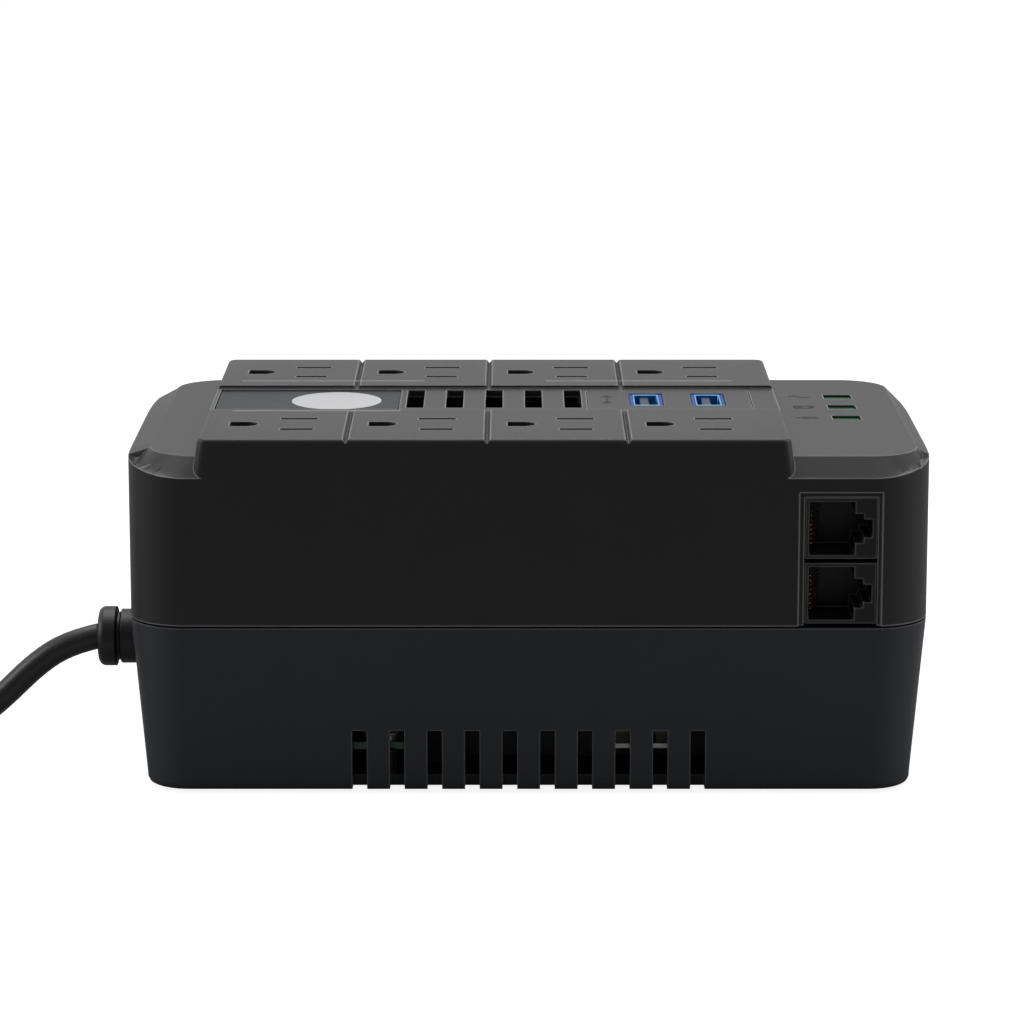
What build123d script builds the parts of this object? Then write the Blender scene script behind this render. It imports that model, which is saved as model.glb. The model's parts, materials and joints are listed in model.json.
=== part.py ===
"""Compact eight-outlet uninterruptible power supply, built as separate pieces.

Frame: millimetres, +Z up, front face towards -Y, origin on the floor below the middle of the body.
Each function makes one piece or one group of like pieces. The call at the end writes one STEP file a node.
"""
from build123d import *
import math
import os

os.makedirs("parts", exist_ok=True)

# ---------------------------------------------------------------- body
body_width = 175.0
body_depth = 105.0
deck_top = 79.0
foot_proud = 0.6
corner_radius = 13.0
wall = 2.4
floor_thickness = 2.4
bottom_round = 2.0
side_draft = 5.0
parting_z = 37.4
parting_gap = 0.5
lip_height = 2.6
lip_thickness = 1.05
lip_clearance = 0.15

# ---------------------------------------------------------------- shoulders and deck
shoulder_drop = 4.4
rim_height = 4.2
rim_front = 4.0
rim_left = 4.8
rim_right = 2.6
deck_left = -71.5
deck_right = 56.5
deck_draft = 8.0
deck_corner_radius = 2.2
deck_edge_round = 0.8
channel_half = 15.6
channel_depth = 0.7
groove_width = 1.4
groove_depth = 0.9

# ---------------------------------------------------------------- outlets, a North American grounded pattern
outlet_count = 4
outlet_pitch = 30.5
outlet_last_x = 34.9
row_y = 34.0
ground_to_blades = 11.9
blade_spacing = 12.7
neutral_slot_length = 8.2
line_slot_length = 7.2
slot_width = 2.0
ground_hole_width = 5.6
ground_hole_length = 6.2
groove_offset = 1.8

# ---------------------------------------------------------------- deck vents
vent_count = 5
vent_pitch = 8.94
vent_first_x = -25.6
vent_width = 3.9
vent_back = 13.2
vent_front = -10.0

# ---------------------------------------------------------------- label plate and charging sockets
label_x = (-70.6, -29.2)
label_half = 13.4
label_thickness = 0.5
label_sunk = 0.3
bezel_x = (13.5, 50.7)
bezel_half = 12.6
bezel_thickness = 1.2
bezel_corner = 1.6
seat_clearance = 0.1
usb_x = (26.9, 41.0)
usb_y = 1.2
usb_opening = (7.7, 15.6)
usb_insert_depth = 12.6
usb_shell_size = (5.9, 13.4)
usb_shell_wall = 0.35
usb_tongue = (1.9, 11.2)
usb_sunk = 0.3
board_thickness = 1.6

# ---------------------------------------------------------------- status lights
led_x = 72.4
led_y = (-2.2, 11.5, 25.2)
led_window = (6.4, 5.6)
led_sunk = 0.55
led_board_top = 66.2
led_height = 2.0

# ---------------------------------------------------------------- telephone and network jacks
jack_x = 67.6
jack_z = (44.8, 59.2)
jack_size = (15.7, 13.5)
jack_depth = 15.0
jack_recess_x = (58.5, 76.5)
jack_recess_top = 67.2
jack_recess_depth = 0.8
jack_mouth = 11.8
jack_main_x = (-6.9, 3.0)
jack_step_x = 4.9
jack_step_height = 6.4
jack_latch_x = 6.8
jack_latch_height = 3.9
jack_cavity_depth = 12.5
jack_contact_count = 8
jack_contact_pitch = 1.02

# ---------------------------------------------------------------- lower vents
slot_count = 10
slot_pitch = 8.22
slot_first_x = -37.0
slot_cut_width = 3.2
slot_top = 14.2
slot_floor_reach = 8.0

# ---------------------------------------------------------------- fastening
screw_x = 79.2
screw_y = 39.5
screw_radius = 1.5
screw_pilot = 1.3
screw_head_radius = 2.8
screw_head_height = 2.0
lower_boss_radius = 4.2
upper_boss_radius = 3.0
head_recess_radius = 3.05
head_recess_top = 25.0
screw_length = 26.0
small_boss_radius = 2.6
small_screw_radius = 1.2
small_head_radius = 2.3
small_head_height = 1.4
small_screw_length = 7.0
foot_radius = 6.0
foot_height = 1.8
foot_x = 62.0
foot_y = 34.0

# ---------------------------------------------------------------- battery
battery_x = (-25.5, 75.5)
battery_y = (-33.5, 36.5)
battery_height = 47.0
battery_clearance = 0.4
battery_rib = 2.0
battery_rib_height = 9.0
terminal_y = (-20.0, 22.0)
terminal_z = 30.0
terminal_base = 8.0
terminal_tab = (6.3, 6.3)
terminal_thickness = 0.8
strap_x = 26.0
strap_width = 14.0
strap_thickness = 1.0
strap_foot = 9.0
strap_boss_height = 5.0
lead_radius = 1.25

# ---------------------------------------------------------------- transformer
core_width = 54.0
core_height = 45.0
core_stack = 25.0
core_leg = 9.0
core_x = -53.3
core_y = 11.5
coil_overhang = 9.0
coil_clearance = 0.2
plate_thickness = 1.2
plate_lift = 1.4
ear_x = 17.0
ear_y = 26.0

# ---------------------------------------------------------------- main board
board_x = (-74.0, -27.5)
board_y = (-44.5, -18.5)
board_lift = 5.0
board_hole_inset_x = 3.2
board_hole_inset_y = 3.4
heat_sink_place = (-40.0, -23.6)
heat_sink_width = 10.0
heat_sink_plate = 2.0
heat_sink_height = 22.0
fin_count = 4
fin_pitch = 2.9
fin_thickness = 1.0
fin_reach = 4.6
transistor_size = (9.0, 3.2, 10.0)
transistor_lift = 5.0
transfer_relay_place = (-58.5, -37.5)
boost_relay_place = (-53.5, -24.9)
relay_size = (16.0, 12.0, 14.0)
relay_round = 0.8
capacitor_places = ((-36.0, -35.8, 5.0, 20.0), (-45.5, -41.9, 2.3, 8.0), (-64.8, -28.4, 2.3, 8.0))
capacitor_round = 0.6
buzzer_place = (-45.5, -35.5)
buzzer_radius = 3.6
buzzer_height = 8.0
buzzer_hole = 1.0

# ---------------------------------------------------------------- outlet contacts
carrier_thickness = 2.0
carrier_z = 55.4
carrier_x = (-70.0, 50.0)
carrier_outer = 49.6
carrier_inner = 24.0
carrier_boss_y = 46.6
bar_thickness = 0.8
bar_width = 4.0
bar_overhang = 4.0
leaf_thickness = 0.6
blade_gap = 1.5
blade_leaf = (6.6, 13.0)
ground_gap = 4.8
ground_leaf = (5.6, 15.0)

# ---------------------------------------------------------------- controls on the back
button_x = 66.0
button_z = 58.2
button_radius = 6.0
button_clearance = 0.25
button_travel = 2.5
button_pocket_radius = 9.0
button_pocket_depth = 1.0
switch_size = (12.0, 12.0, 14.0)
breaker_x = -52.0
breaker_z = 26.0
breaker_button_radius = 3.0
breaker_button_clearance = 0.3
breaker_pocket_radius = 7.8
breaker_pocket_depth = 3.2
breaker_bush_radius = 4.6
breaker_nut_height = 1.6
breaker_nut_radius = 7.0
breaker_seat_wall = 1.2
breaker_body_size = (20.0, 12.5, 12.0)
breaker_travel = 2.5

# ---------------------------------------------------------------- cord
cord_radius = 2.9
cord_y = -22.0
cord_z = 28.4
relief_reach = 8.9
relief_collar_radius = 6.7
relief_collar_length = 4.1
relief_groove_radius = 5.4
relief_groove_length = 0.9
relief_neck_radius = 6.1
relief_wall_radius = 4.9
relief_nut_radius = 7.0
relief_nut_length = 2.4
relief_tail_radius = 4.4
relief_tail_length = 9.0
coil_centre = (-186.0, 9.5)
coil_radius = 39.0
coil_turn_pitch = 6.0
coil_turns_across = 3
coil_layers = 2
cord_route = [
    (-96.4, -22.0, 28.4),
    (-107.3, -22.2, 26.2),
    (-117.6, -22.9, 20.6),
    (-127.0, -24.2, 12.6),
    (-138.0, -26.2, 6.4),
    (-149.4, -28.2, 3.6),
    (-160.0, -29.4, 2.9),
    (-173.0, -29.6, 2.9),
    (-186.0, -29.5, 2.9),
]
tail_route = [
    (-186.0, -29.5, 8.8),
    (-200.8, -29.8, 8.3),
    (-215.5, -29.3, 6.7),
    (-228.5, -23.9, 5.4),
    (-238.4, -14.0, 5.6),
    (-243.8, -1.0, 8.0),
    (-245.0, 17.0, 12.0),
]
plug_relief_length = 20.0
plug_relief_wall = (1.2, 3.2)
plug_round = 3.0
plug_length = 24.0
plug_width = 26.0
plug_height = 24.0
plug_blade_length = 15.9
plug_ground_length = 18.2
plug_blade = (6.35, 1.5)
plug_blade_drop = 4.8
plug_ground_radius = 2.38
tie_width = 8.0
tie_thickness = 0.8

# ---------------------------------------------------------------- places worked out
half_width = body_width / 2
half_depth = body_depth / 2
body_bottom = foot_proud
floor_top = body_bottom + floor_thickness
lower_top = parting_z - parting_gap / 2
upper_bottom = parting_z + parting_gap / 2
shoulder_top = deck_top - shoulder_drop
shoulder_under = shoulder_top - wall
deck_under = deck_top - wall
channel_floor = deck_top - channel_depth
taper = (lower_top - body_bottom) * math.tan(math.radians(side_draft))
outlet_xs = [outlet_last_x - outlet_pitch * (outlet_count - 1 - i) for i in range(outlet_count)]
ground_xs = [x - ground_to_blades / 2 for x in outlet_xs]
blade_xs = [x + ground_to_blades / 2 for x in outlet_xs]
groove_xs = [(a + b) / 2 + groove_offset for a, b in zip(outlet_xs, outlet_xs[1:])]
corner_screws = [(sx * screw_x, sy * screw_y) for sx in (-1, 1) for sy in (-1, 1)]
battery_top = floor_top + battery_height
board_bottom = floor_top + board_lift
board_top = board_bottom + board_thickness
board_holes = [
    (x, y)
    for x in (board_x[0] + board_hole_inset_x, board_x[1] - board_hole_inset_x)
    for y in (board_y[0] + board_hole_inset_y, board_y[1] - board_hole_inset_y)
]
plate_bottom = floor_top + plate_lift
core_bottom = plate_bottom + plate_thickness
ear_holes = [(core_x + sx * ear_x, core_y + sy * ear_y) for sx in (-1, 1) for sy in (-1, 1)]
strap_holes = [
    (strap_x, battery_y[0] - strap_thickness - strap_foot / 2),
    (strap_x, battery_y[1] + strap_thickness + strap_foot / 2),
]
carrier_top = carrier_z + carrier_thickness
carrier_bosses = [groove_xs[0], groove_xs[-1]]
usb_top = channel_floor - usb_sunk
usb_board_top = usb_top - usb_insert_depth
jack_front = -half_depth + jack_recess_depth
jack_back = jack_front + jack_depth
relief_start = -half_width + (parting_z - cord_z) * math.tan(math.radians(side_draft))
relief_tip = -half_width - relief_reach
button_face = half_depth - 0.2
wall_inside = half_depth - wall


# ================================================================ shared shapes
def block(x, y, z):
    """Box between three pairs of faces."""
    size = [b - a for a, b in (x, y, z)]
    middle = [(a + b) / 2 for a, b in (x, y, z)]
    return Pos(*middle) * Box(*size)


def post(x, y, z0, z1, radius):
    """Upright cylinder between two heights."""
    return Pos(x, y, (z0 + z1) / 2) * Cylinder(radius, z1 - z0)


def bar_along_y(x, z, y0, y1, radius):
    """Cylinder that lies along Y."""
    return Pos(x, (y0 + y1) / 2, z) * Rot(90, 0, 0) * Cylinder(radius, y1 - y0)


def bar_along_x(y, z, x0, x1, radius):
    """Cylinder that lies along X."""
    return Pos((x0 + x1) / 2, y, z) * Rot(0, 90, 0) * Cylinder(radius, x1 - x0)


def plan(z, left, right, front, back, radius):
    """Rounded rectangle at height z, inset from the body's four sides."""
    x0 = -half_width + left
    x1 = half_width - right
    y0 = -half_depth + front
    y1 = half_depth - back
    return Pos((x0 + x1) / 2, (y0 + y1) / 2, z) * RectangleRounded(x1 - x0, y1 - y0, radius)


def even_plan(z, inset):
    """Rounded rectangle at height z, inset the same all round."""
    return plan(z, inset, inset, inset, inset, corner_radius - inset)


def lower_form(inset, z0, z1):
    """Drafted form of the lower housing between two heights, drawn in by an inset."""
    slope = math.tan(math.radians(side_draft))
    return loft(
        [even_plan(z, inset + (lower_top - z) * slope) for z in (z0, z1)],
        ruled=True,
    )


def deck_form(inset):
    """Raised deck: a drafted block as deep as the body."""
    z0 = shoulder_top - 2 * rim_height
    z1 = deck_top - inset
    spread = (z1 - z0) * math.tan(math.radians(deck_draft))
    outline = Polyline(
        (deck_left + inset, z1),
        (deck_right - inset, z1),
        (deck_right - inset + spread, z0),
        (deck_left + inset - spread, z0),
        close=True,
    )
    section = Plane.XZ * make_face(outline)
    depth = body_depth - 2 * inset
    return Pos(0, depth / 2, 0) * extrude(section, depth)


def upper_form(inset, z0):
    """Shoulders and deck above height z0, drawn in by an inset."""
    rim_foot = shoulder_top - rim_height - inset / 2
    base = extrude(even_plan(z0, inset), rim_foot - z0)
    rim = loft(
        [
            even_plan(rim_foot, inset),
            plan(
                shoulder_top - inset,
                inset + rim_left,
                inset + rim_right,
                inset + rim_front,
                inset + rim_front,
                corner_radius - inset - rim_front / 2,
            ),
        ],
        ruled=True,
    )
    return base, rim


def screw(x, y, z, length, radius, head_radius, head_height, up=True):
    """Pan-head screw with a cross recess. z is the seat of its head."""
    shank = post(0, 0, 0, length, radius)
    head = post(0, 0, -head_height, 0, head_radius)
    head = fillet(head.edges().group_by(Axis.Z)[0], head_height * 0.4)
    arm = head_radius * 0.55
    recess = Box(2 * arm, arm * 0.4, head_height) + Box(arm * 0.4, 2 * arm, head_height)
    body = shank + head - Pos(0, 0, -head_height) * recess
    turn = Rot(0, 0, 0) if up else Rot(180, 0, 0)
    return Pos(x, y, z) * turn * body


def ground_hole(x, y, z0, z1):
    """D-shaped hole for an earth pin, flat side to the left."""
    r = ground_hole_width / 2
    left = x - ground_hole_length / 2
    middle = x + ground_hole_length / 2 - r
    return block((left, middle), (y - r, y + r), (z0, z1)) + post(middle, y, z0, z1, r)


def tube(points, radius):
    """Straight runs joined by tangent arcs, as large as each pair of runs allows."""
    corners = [Vector(*p) for p in points]
    radii = []
    for a, b, c in zip(corners, corners[1:], corners[2:]):
        turn = math.radians((b - a).get_angle(c - b))
        shorter = min((b - a).length, (c - b).length)
        radii.append(0.45 * shorter / math.tan(turn / 2))
    path = FilletPolyline(*points, radius=radii)
    start = Plane(origin=path @ 0, z_dir=path % 0)
    solid = sweep(start * Circle(radius), path=path)
    print(f"tube of {path.length:.1f} mm, least bend radius {min(radii):.1f} mm")
    return solid, path.length


# ================================================================ housing
def lower_housing():
    """Tapered lower shell with its lip, vents, bosses, cradle and feet recesses."""
    outer = lower_form(0, body_bottom, lower_top)
    outer = fillet(outer.edges().group_by(Axis.Z)[0], bottom_round)
    shell = outer - lower_form(wall, floor_top, lower_top) - extrude(even_plan(lower_top, wall), 1)
    lip_outside = wall - lip_thickness
    lip = extrude(even_plan(lower_top - 1, lip_outside), lip_height + 1 + parting_gap)
    lip -= extrude(even_plan(lower_top - 2, wall), lip_height + 3 + parting_gap)
    jack_notch = block(
        (jack_recess_x[0] - 0.5, jack_recess_x[1] + 0.5),
        (-half_depth, -half_depth + 2 * wall),
        (lower_top, upper_bottom + 2 * lip_height),
    )
    shell += lip - jack_notch
    inside = lower_form(wall / 2, body_bottom + 1, lower_top)
    bosses = Part()
    for x, y in corner_screws:
        bosses += post(x, y, body_bottom + 1, lower_top, lower_boss_radius) & inside
    for x, y in board_holes:
        bosses += post(x, y, floor_top - 1, board_bottom, small_boss_radius)
    for x, y in ear_holes:
        bosses += post(x, y, floor_top - 1, plate_bottom, small_boss_radius)
    for x, y in strap_holes:
        bosses += post(x, y, floor_top - 1, floor_top + strap_boss_height, small_boss_radius)
    seat_radius = breaker_pocket_radius + breaker_seat_wall
    seat = bar_along_y(breaker_x, breaker_z, wall_inside - breaker_pocket_depth, half_depth, seat_radius)
    shell += bosses + battery_cradle() + (seat & inside)
    for x, y in corner_screws:
        shell -= post(x, y, 0, head_recess_top, head_recess_radius)
        shell -= post(x, y, 0, lower_top + 1, screw_radius + 0.15)
    blind = body_bottom + 0.8
    for x, y in board_holes + ear_holes + strap_holes:
        shell -= post(x, y, blind, board_bottom + 1, small_screw_radius)
    for x, y in foot_places():
        shell -= post(x, y, 0, foot_height, foot_radius + seat_clearance)
    shell -= lower_slots() + breaker_cuts()
    shell -= bar_along_x(cord_y, cord_z, -half_width - 5, -half_width + 4 * wall, relief_wall_radius + 0.1)
    return shell


def battery_cradle():
    """Low corner ribs that hold the battery in place on the floor."""
    x0, x1 = (battery_x[0] - battery_clearance, battery_x[1] + battery_clearance)
    y0, y1 = (battery_y[0] - battery_clearance, battery_y[1] + battery_clearance)
    height = (floor_top - 1, floor_top + battery_rib_height)
    reach = 12.0
    ribs = Part()
    for y, side in ((y0, -1), (y1, 1)):
        band = tuple(sorted((y, y + side * battery_rib)))
        ribs += block((x0, x0 + reach), band, height)
        ribs += block((x1 - reach, x1 - 2), band, height)
    ribs += block((x1, x1 + battery_rib), (-reach, reach), height)
    return ribs


def lower_slots():
    """Tall ventilation slots that run out through the bottom edge, front and back."""
    cuts = Part()
    for i in range(slot_count):
        x = slot_first_x + i * slot_pitch
        for side in (-1, 1):
            ends = sorted((side * (half_depth + 5), side * (half_depth - slot_floor_reach)))
            cut = block((x - slot_cut_width / 2, x + slot_cut_width / 2), ends, (-1, slot_top))
            cuts += cut
    return cuts


def breaker_cuts():
    """Deep pocket and bore for the breaker in the back wall."""
    pocket_floor = half_depth - breaker_pocket_depth
    cuts = bar_along_y(breaker_x, breaker_z, pocket_floor, half_depth + 1, breaker_pocket_radius)
    bush = breaker_bush_radius + seat_clearance
    return cuts + bar_along_y(breaker_x, breaker_z, pocket_floor - 4 * wall, pocket_floor + 1, bush)


def foot_places():
    """Middles of the four rubber feet."""
    return [(sx * foot_x, sy * foot_y) for sx in (-1, 1) for sy in (-1, 1)]


def upper_housing():
    """Upper shell: bevelled shoulders, raised outlet deck, and every opening in them."""
    base, rim = upper_form(0, upper_bottom)
    deck = deck_form(0)
    uprights = deck.edges().filter_by(lambda edge: abs((edge % 0).Z) > 0.9)
    deck = fillet(uprights, deck_corner_radius)
    deck = fillet(deck.faces().sort_by(Axis.Z)[-1].edges(), deck_edge_round)
    shell = base + rim + deck
    inner_base, inner_rim = upper_form(wall, upper_bottom - 1)
    shell -= inner_base + inner_rim + deck_form(wall)
    rebate = wall - lip_thickness - lip_clearance
    shell -= extrude(even_plan(upper_bottom - 1, rebate), lip_height + 1 + 2 * lip_clearance)
    shell += usb_pad()
    shell += upper_bosses()
    shell -= deck_cuts()
    shell -= jack_cuts()
    shell -= button_cuts()
    for y in led_y:
        shell -= block(
            (led_x - led_window[0] / 2, led_x + led_window[0] / 2),
            (y - led_window[1] / 2, y + led_window[1] / 2),
            (shoulder_under - 1, shoulder_top + 1),
        )
    return shell


def usb_pad():
    """Thicker roof below the charging sockets' bezel."""
    return block(
        (bezel_x[0] - 2, bezel_x[1] + 2),
        (-channel_half, channel_half),
        (deck_under - 1.4, deck_under + 0.5),
    )


def upper_bosses():
    """Screw posts below the shoulders and the deck."""
    posts = Part()
    for x, y in corner_screws:
        posts += post(x, y, upper_bottom, shoulder_under + 0.5, upper_boss_radius)
    for x in carrier_bosses:
        for side in (-1, 1):
            posts += post(x, side * carrier_boss_y, carrier_top, deck_under + 0.5, small_boss_radius)
    for x, y in led_board_holes():
        posts += post(x, y, led_board_top, shoulder_under + 0.5, small_boss_radius)
    for x, y in usb_board_holes():
        posts += post(x, y, usb_board_top, deck_under - 1, small_boss_radius)
    for x, y in corner_screws:
        posts -= post(x, y, upper_bottom - 1, head_recess_top + screw_length + 1, screw_pilot)
    for x in carrier_bosses:
        for side in (-1, 1):
            depth = (carrier_top - 1, carrier_top + small_screw_length)
            posts -= post(x, side * carrier_boss_y, *depth, small_screw_radius)
    for x, y in led_board_holes():
        posts -= post(x, y, led_board_top - 1, shoulder_under - 1, small_screw_radius)
    for x, y in usb_board_holes():
        posts -= post(x, y, usb_board_top - 1, usb_board_top + small_screw_length, small_screw_radius)
    return posts


def deck_cuts():
    """Channel, grooves, outlet holes, vents and the seats of the label and bezel."""
    above = deck_top + 1
    cuts = block((deck_left - 5, deck_right + 5), (-channel_half, channel_half), (channel_floor, above))
    for x in groove_xs:
        for side in (-1, 1):
            outline = Polyline(
                (x - groove_width / 2, deck_top + 0.01),
                (x + groove_width / 2, deck_top + 0.01),
                (x, deck_top - groove_depth),
                close=True,
            )
            run = half_depth + 2 - channel_half
            cut = extrude(Plane.XZ * make_face(outline), run)
            cuts += Pos(0, half_depth + 2 if side > 0 else -channel_half, 0) * cut
    below = deck_under - 2
    for row in (-row_y, row_y):
        for gx, bx in zip(ground_xs, blade_xs):
            cuts += ground_hole(gx, row, below, above)
            for side, length in ((-1, line_slot_length), (1, neutral_slot_length)):
                y = row + side * blade_spacing / 2
                cuts += block(
                    (bx - length / 2, bx + length / 2),
                    (y - slot_width / 2, y + slot_width / 2),
                    (below, above),
                )
    for i in range(vent_count):
        x = vent_first_x + i * vent_pitch
        cuts += block((x - vent_width / 2, x + vent_width / 2), (vent_front, vent_back), (below, above))
    label_floor = channel_floor - label_sunk - label_thickness
    cuts += block(
        (label_x[0] - seat_clearance, label_x[1] + seat_clearance),
        (-label_half - seat_clearance, label_half + seat_clearance),
        (label_floor, above),
    )
    bezel_floor = channel_floor - bezel_thickness
    bezel_mid = (bezel_x[0] + bezel_x[1]) / 2
    seat = RectangleRounded(
        bezel_x[1] - bezel_x[0] + 2 * seat_clearance,
        2 * (bezel_half + seat_clearance),
        bezel_corner,
    )
    cuts += extrude(Pos(bezel_mid, 0, bezel_floor) * seat, above - bezel_floor)
    for x in usb_x:
        cuts += usb_hole(x, below - 2, above)
    return cuts


def usb_hole(x, z0, z1):
    """Opening round one charging socket."""
    half = [s / 2 for s in usb_opening]
    return block((x - half[0], x + half[0]), (usb_y - half[1], usb_y + half[1]), (z0, z1))


def jack_cuts():
    """Framed recess for the jacks, with one opening behind it for the pair."""
    front = (-half_depth - 1, jack_front)
    cuts = block(jack_recess_x, front, (upper_bottom - 1, jack_recess_top))
    half = jack_size[0] / 2 + seat_clearance
    top = jack_z[-1] + jack_size[1] / 2 + seat_clearance
    cuts += block(
        (jack_x - half, jack_x + half),
        (-half_depth - 1, -half_depth + 3 * wall),
        (upper_bottom - 1, top),
    )
    return cuts


def button_cuts():
    """Shallow pocket and bore for the power button in the back wall."""
    outside = half_depth + 1
    cuts = bar_along_y(button_x, button_z, half_depth - button_pocket_depth, outside, button_pocket_radius)
    cuts += bar_along_y(button_x, button_z, wall_inside - 1, outside, button_radius + button_clearance)
    return cuts


def rubber_feet():
    """Four round feet, seated in recesses in the floor."""
    feet = []
    for x, y in foot_places():
        foot = post(x, y, 0, foot_height, foot_radius)
        feet.append(fillet(foot.edges().group_by(Axis.Z)[0], foot_proud / 2))
    return feet


def housing_screws():
    """Four long screws from below that hold the two shells together."""
    return [
        screw(x, y, head_recess_top, screw_length, screw_radius - 0.25, screw_head_radius, screw_head_height)
        for x, y in corner_screws
    ]


# ================================================================ deck trim
def label_plate():
    """Thin glossy plate in the channel's left end."""
    top = channel_floor - label_sunk
    return block(label_x, (-label_half, label_half), (top - label_thickness, top))


def usb_bezel():
    """Plate round the two charging sockets."""
    middle = (bezel_x[0] + bezel_x[1]) / 2
    outline = RectangleRounded(bezel_x[1] - bezel_x[0], 2 * bezel_half, bezel_corner)
    plate = extrude(Pos(middle, 0, channel_floor - bezel_thickness) * outline, bezel_thickness)
    for x in usb_x:
        plate -= usb_hole(x, channel_floor - 2 * bezel_thickness, channel_floor + 1)
    return plate


def usb_insert(x):
    """Moulded socket body with its contact tongue."""
    half = [s / 2 - seat_clearance for s in usb_opening]
    body = block((x - half[0], x + half[0]), (usb_y - half[1], usb_y + half[1]), (usb_board_top, usb_top))
    cavity_x, cavity_y = (s / 2 for s in usb_shell_size)
    floor = usb_top - usb_insert_depth + 3.0
    body -= block((x - cavity_x, x + cavity_x), (usb_y - cavity_y, usb_y + cavity_y), (floor, usb_top + 1))
    tongue_x, tongue_y = (s / 2 for s in usb_tongue)
    near = x - 0.4
    body += block(
        (near - tongue_x, near + tongue_x),
        (usb_y - tongue_y, usb_y + tongue_y),
        (floor - 0.5, usb_top - 0.5),
    )
    return body


def usb_shell(x):
    """Folded steel liner of one charging socket."""
    outer_x, outer_y = (s / 2 - 0.02 for s in usb_shell_size)
    inner_x, inner_y = (outer_x - usb_shell_wall, outer_y - usb_shell_wall)
    height = (usb_top - usb_insert_depth + 3.0, usb_top + 0.1)
    shell = block((x - outer_x, x + outer_x), (usb_y - outer_y, usb_y + outer_y), height)
    through = (height[0] - 1, height[1] + 1)
    return shell - block((x - inner_x, x + inner_x), (usb_y - inner_y, usb_y + inner_y), through)


def usb_board_holes():
    """Screw holes of the charging board."""
    return [(bezel_x[0] + 2.6, -usb_y - 8), (bezel_x[1] - 1.0, usb_y + 8)]


def usb_board():
    """Small board below the two charging sockets."""
    height = (usb_board_top - board_thickness, usb_board_top)
    board = block((bezel_x[0] - 1, bezel_x[1] + 2.6), (-bezel_half, bezel_half), height)
    for x, y in usb_board_holes():
        board -= post(x, y, height[0] - 1, height[1] + 1, small_screw_radius + 0.2)
    return board


# ================================================================ status lights
def led_guide(y):
    """Clear block that carries one status light up to its window."""
    half_x = led_window[0] / 2 - seat_clearance
    half_y = led_window[1] / 2 - seat_clearance
    height = (led_board_top + led_height, shoulder_top - led_sunk)
    return block((led_x - half_x, led_x + half_x), (y - half_y, y + half_y), height)


def led_board_holes():
    """Screw holes of the status board."""
    return [(led_x - 9, led_y[0] + 3), (led_x - 9, led_y[-1] - 3)]


def led_board():
    """Board that carries the three status lights."""
    height = (led_board_top - board_thickness, led_board_top)
    board = block((led_x - 12.5, led_x + 6), (led_y[0] - 6, led_y[-1] + 6), height)
    for x, y in led_board_holes():
        board -= post(x, y, height[0] - 1, height[1] + 1, small_screw_radius + 0.2)
    return board


def status_leds():
    """Three surface-mounted lamps below the guides."""
    return [
        block((led_x - 1.6, led_x + 1.6), (y - 1.4, y + 1.4), (led_board_top, led_board_top + led_height))
        for y in led_y
    ]


# ================================================================ jacks
def jack_housing(z):
    """Moulded jack: a block with a stepped mouth, its latch side to the right."""
    half_x, half_z = (s / 2 for s in jack_size)
    body = block((jack_x - half_x, jack_x + half_x), (jack_front, jack_back), (z - half_z, z + half_z))
    depth = (jack_front - 1, jack_front + jack_cavity_depth)
    x0, x1 = (jack_x + v for v in jack_main_x)
    body -= block((x0, x1), depth, (z - jack_mouth / 2, z + jack_mouth / 2))
    step = jack_step_height / 2
    body -= block((x1 - 1, jack_x + jack_step_x), depth, (z - step, z + step))
    latch = jack_latch_height / 2
    body -= block((x1 - 1, jack_x + jack_latch_x), depth, (z - latch, z + latch))
    return body


def jack_contacts(z):
    """Sprung wires that slope back from the left side of the mouth."""
    wires = []
    start = jack_x + jack_main_x[0]
    for i in range(jack_contact_count):
        wire_z = z + (i - (jack_contact_count - 1) / 2) * jack_contact_pitch
        wire = Polyline(
            (start, jack_front + 1.2),
            (start + 2.6, jack_front + 8.6),
            (start + 2.6 + 0.35, jack_front + 8.5),
            (start + 0.5, jack_front + 1.1),
            close=True,
        )
        face = Pos(0, 0, wire_z - 0.2) * make_face(wire)
        wires.append(extrude(face, 0.4))
    return wires


def jack_board():
    """Upright board behind the two jacks."""
    half_x = jack_size[0] / 2 + 0.4
    z0 = jack_z[0] - jack_size[1] / 2
    z1 = jack_z[-1] + jack_size[1] / 2
    return block((jack_x - half_x, jack_x + half_x), (jack_back, jack_back + board_thickness), (z0, z1))


# ================================================================ outlet contacts
def contact_carrier(side):
    """Moulded tray that holds one row's three contact bars below the deck."""
    band = tuple(sorted((side * carrier_inner, side * carrier_outer)))
    tray = block(carrier_x, band, (carrier_z, carrier_top))
    for x in carrier_bosses:
        tray -= post(x, side * carrier_boss_y, carrier_z - 1, carrier_top + 1, small_screw_radius + 0.2)
    fence = 3.0
    for offset in (-blade_spacing / 4 - 0.4, blade_spacing / 4 + 0.4):
        y = side * row_y + offset
        tray += block(carrier_x, (y - 0.35, y + 0.35), (carrier_top - 0.5, carrier_top + fence))
    return tray


def blade_bar(side, place):
    """Brass strip with a pair of spring leaves below each blade slot of a row."""
    y = side * row_y + place * blade_spacing / 2
    x0 = blade_xs[0] - blade_leaf[0] / 2 - bar_overhang
    x1 = blade_xs[-1] + blade_leaf[0] / 2 + bar_overhang
    bar = block((x0, x1), (y - bar_width / 2, y + bar_width / 2), (carrier_top, carrier_top + bar_thickness))
    for x in blade_xs:
        for leaf in (-1, 1):
            middle = y + leaf * (blade_gap + leaf_thickness) / 2
            bar += block(
                (x - blade_leaf[0] / 2, x + blade_leaf[0] / 2),
                (middle - leaf_thickness / 2, middle + leaf_thickness / 2),
                (carrier_top, carrier_top + blade_leaf[1]),
            )
    return bar


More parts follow.
